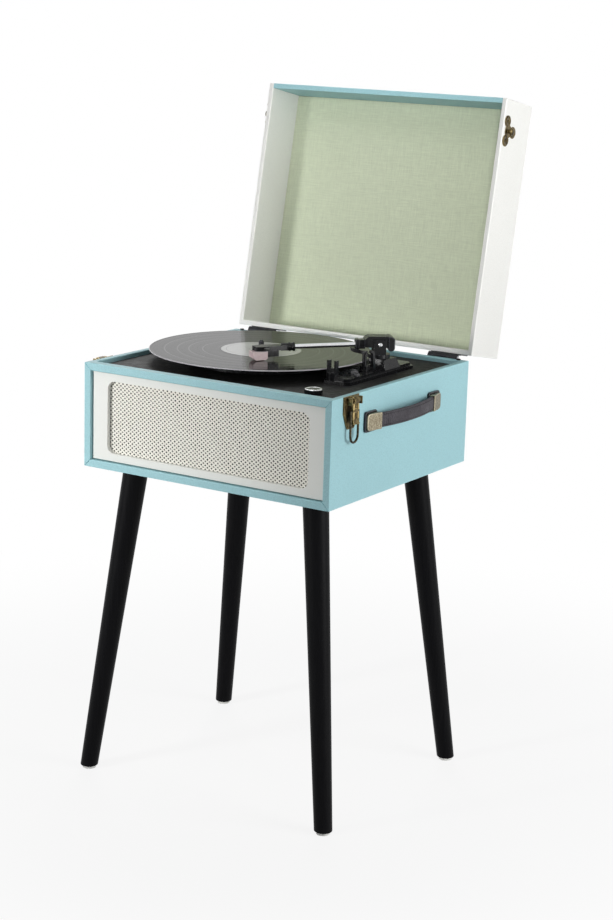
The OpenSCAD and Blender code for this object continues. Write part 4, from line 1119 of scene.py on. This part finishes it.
def back_screws():
    """Screws in the corners of the rear panel and three in every hinge leaf."""
    lo, hi = low("rear_panel"), high("rear_panel")
    inset = 6.5 * MM
    backward = Vector((0, 1, 0))
    bm = bmesh.new()
    for x in (lo.x + inset, hi.x - inset):
        for turn, z in enumerate((lo.z + inset, hi.z - inset)):
            add_screw(bm, Vector((x, hi.y, z)), backward, 2.3 * MM, 1.1 * MM, turn + x)
    piece("rear_panel_screws", bm, "steel", "rear_panel", beside=True)
    face = high("case_shell").y + LEAF_OUT
    on_case, on_lid = bmesh.new(), bmesh.new()
    for hand in (-1, 1):
        for across, stagger in ((-14.0, -4.5), (0.0, 4.5), (14.0, -4.5)):
            x = CASE_X + hand * (SIDE - HINGE_INSET) + across * MM
            off = LEAF_MIDDLE - stagger * MM
            below, above = (x, face, HINGE.z - off), (x, face, HINGE.z + off)
            add_screw(on_case, below, backward, 2.5 * MM, 1.0 * MM, across)
            add_screw(on_lid, opened(above), OPENING @ backward, 2.5 * MM, 1.0 * MM, across)
    for made, place in ((on_case, "case"), (on_lid, "lid")):
        piece("hinge_" + place + "_screws", made, "steel", "hinge_" + place + "_leaves", beside=True)


for leg in ("front_left", "front_right", "rear_right", "rear_left"):
    refine("leg_" + leg, 1.2, 3)
refine("leg_glides", 0.6, 3)
refine("rear_panel", 0.4)
refine("rear_sockets", 0.2)
back_screws()


# Floor, light and world

WORLD_FILL = 0.15
FLOOR_GLOW = 0.86
FLOOR_HALF = 6.0
WHITE = (1, 1, 1, 1)
# Name, place, aim, width, height and power
SOFT_BOXES = (
    ("side_right", (2.25, 0.15, 0.85), (0.15, 0.0, 0.55), 1.2, 1.4, 34.0),
    ("top", (0.0, -1.0, 2.05), (0.0, 0.1, 0.6), 1.2, 0.9, 5.0),
    ("back_left", (-1.3, 1.9, 2.2), (0.0, 0.1, 0.6), 1.4, 1.0, 24.0),
)
# Name, place, aim, size of the lamp, angle in degrees and power
SPOTS = (
    ("front_left", (-0.80, -1.70, 0.75), (-0.28, -0.12, 0.38), 0.18, 43.0, 92.0),
    ("lid_fill", (1.05, -1.65, 1.25), (-0.08, 0.33, 1.02), 0.30, 24.0, 140.0),
)


def show_in_view(wiring, lit, seen, share=1.0):
    """Light with one shader, and show another to the camera, in mirrors and through clear pieces."""
    path = wiring.add("ShaderNodeLightPath").outputs
    direct = wiring.maths("MAXIMUM", path["Is Camera Ray"], path["Is Glossy Ray"])
    direct = wiring.maths("MAXIMUM", direct, path["Is Transmission Ray"])
    part = wiring.maths("MULTIPLY", direct, share)
    return wiring.add("ShaderNodeMixShader", {"Fac": part, 1: lit.outputs[0], 2: seen.outputs[0]}).outputs[0]


def pale_floor():
    """A floor that keeps a faint shadow near the part and turns to plain white further off."""
    bm = bmesh.new()
    bmesh.ops.create_grid(bm, x_segments=24, y_segments=24, size=FLOOR_HALF)
    data = bpy.data.meshes.new("floor")
    bm.to_mesh(data)
    bm.free()
    floor = bpy.data.objects.new("floor", data)
    bpy.context.scene.collection.objects.link(floor)
    ground = bpy.data.materials.new("floor_white")
    wiring = Wiring(ground)
    wiring.tree.nodes.clear()
    plain = wiring.add("ShaderNodeBsdfDiffuse", {"Color": (0.80, 0.80, 0.80, 1)})
    glow = wiring.add("ShaderNodeEmission", {"Color": WHITE, "Strength": 1.0})
    place = wiring.add("ShaderNodeTexCoord").outputs["Object"]
    away = wiring.add("ShaderNodeVectorMath", {0: place}, operation="LENGTH").outputs["Value"]
    share = wiring.span(away, 0.30, 1.10, FLOOR_GLOW, 1.0, interpolation_type="SMOOTHSTEP")
    wiring.add("ShaderNodeOutputMaterial", {"Surface": show_in_view(wiring, plain, glow, share)})
    data.materials.append(ground)


def white_world():
    """A surround that looks white and lights the part only a little."""
    world = bpy.data.worlds.new("studio")
    bpy.context.scene.world = world
    wiring = Wiring(world)
    wiring.tree.nodes.clear()
    dim = wiring.add("ShaderNodeBackground", {"Color": (0.97, 0.985, 1.0, 1), "Strength": WORLD_FILL})
    white = wiring.add("ShaderNodeBackground", {"Color": WHITE, "Strength": 1.0})
    wiring.add("ShaderNodeOutputWorld", {"Surface": show_in_view(wiring, dim, white)})


def hang(name, kind, place, target, power, **settings):
    """Make a lamp, place it and turn it towards a point."""
    lamp = bpy.data.lights.new(name, kind)
    lamp.energy = power
    for key, value in settings.items():
        setattr(lamp, key, value)
    holder = bpy.data.objects.new(name, lamp)
    aim = Vector(target) - Vector(place)
    holder.matrix_world = Matrix.Translation(place) @ aim.to_track_quat("-Z", "Y").to_matrix().to_4x4()
    holder.visible_camera = False
    bpy.context.scene.collection.objects.link(holder)


pale_floor()
white_world()
for lamp_name, spot, aimed, width, height, watts in SOFT_BOXES:
    hang(lamp_name, "AREA", spot, aimed, watts, shape="RECTANGLE", size=width, size_y=height)
for lamp_name, spot, aimed, width, cone, watts in SPOTS:
    hang(lamp_name, "SPOT", spot, aimed, watts, shadow_soft_size=width, spot_size=math.radians(cone),
         spot_blend=1.0)
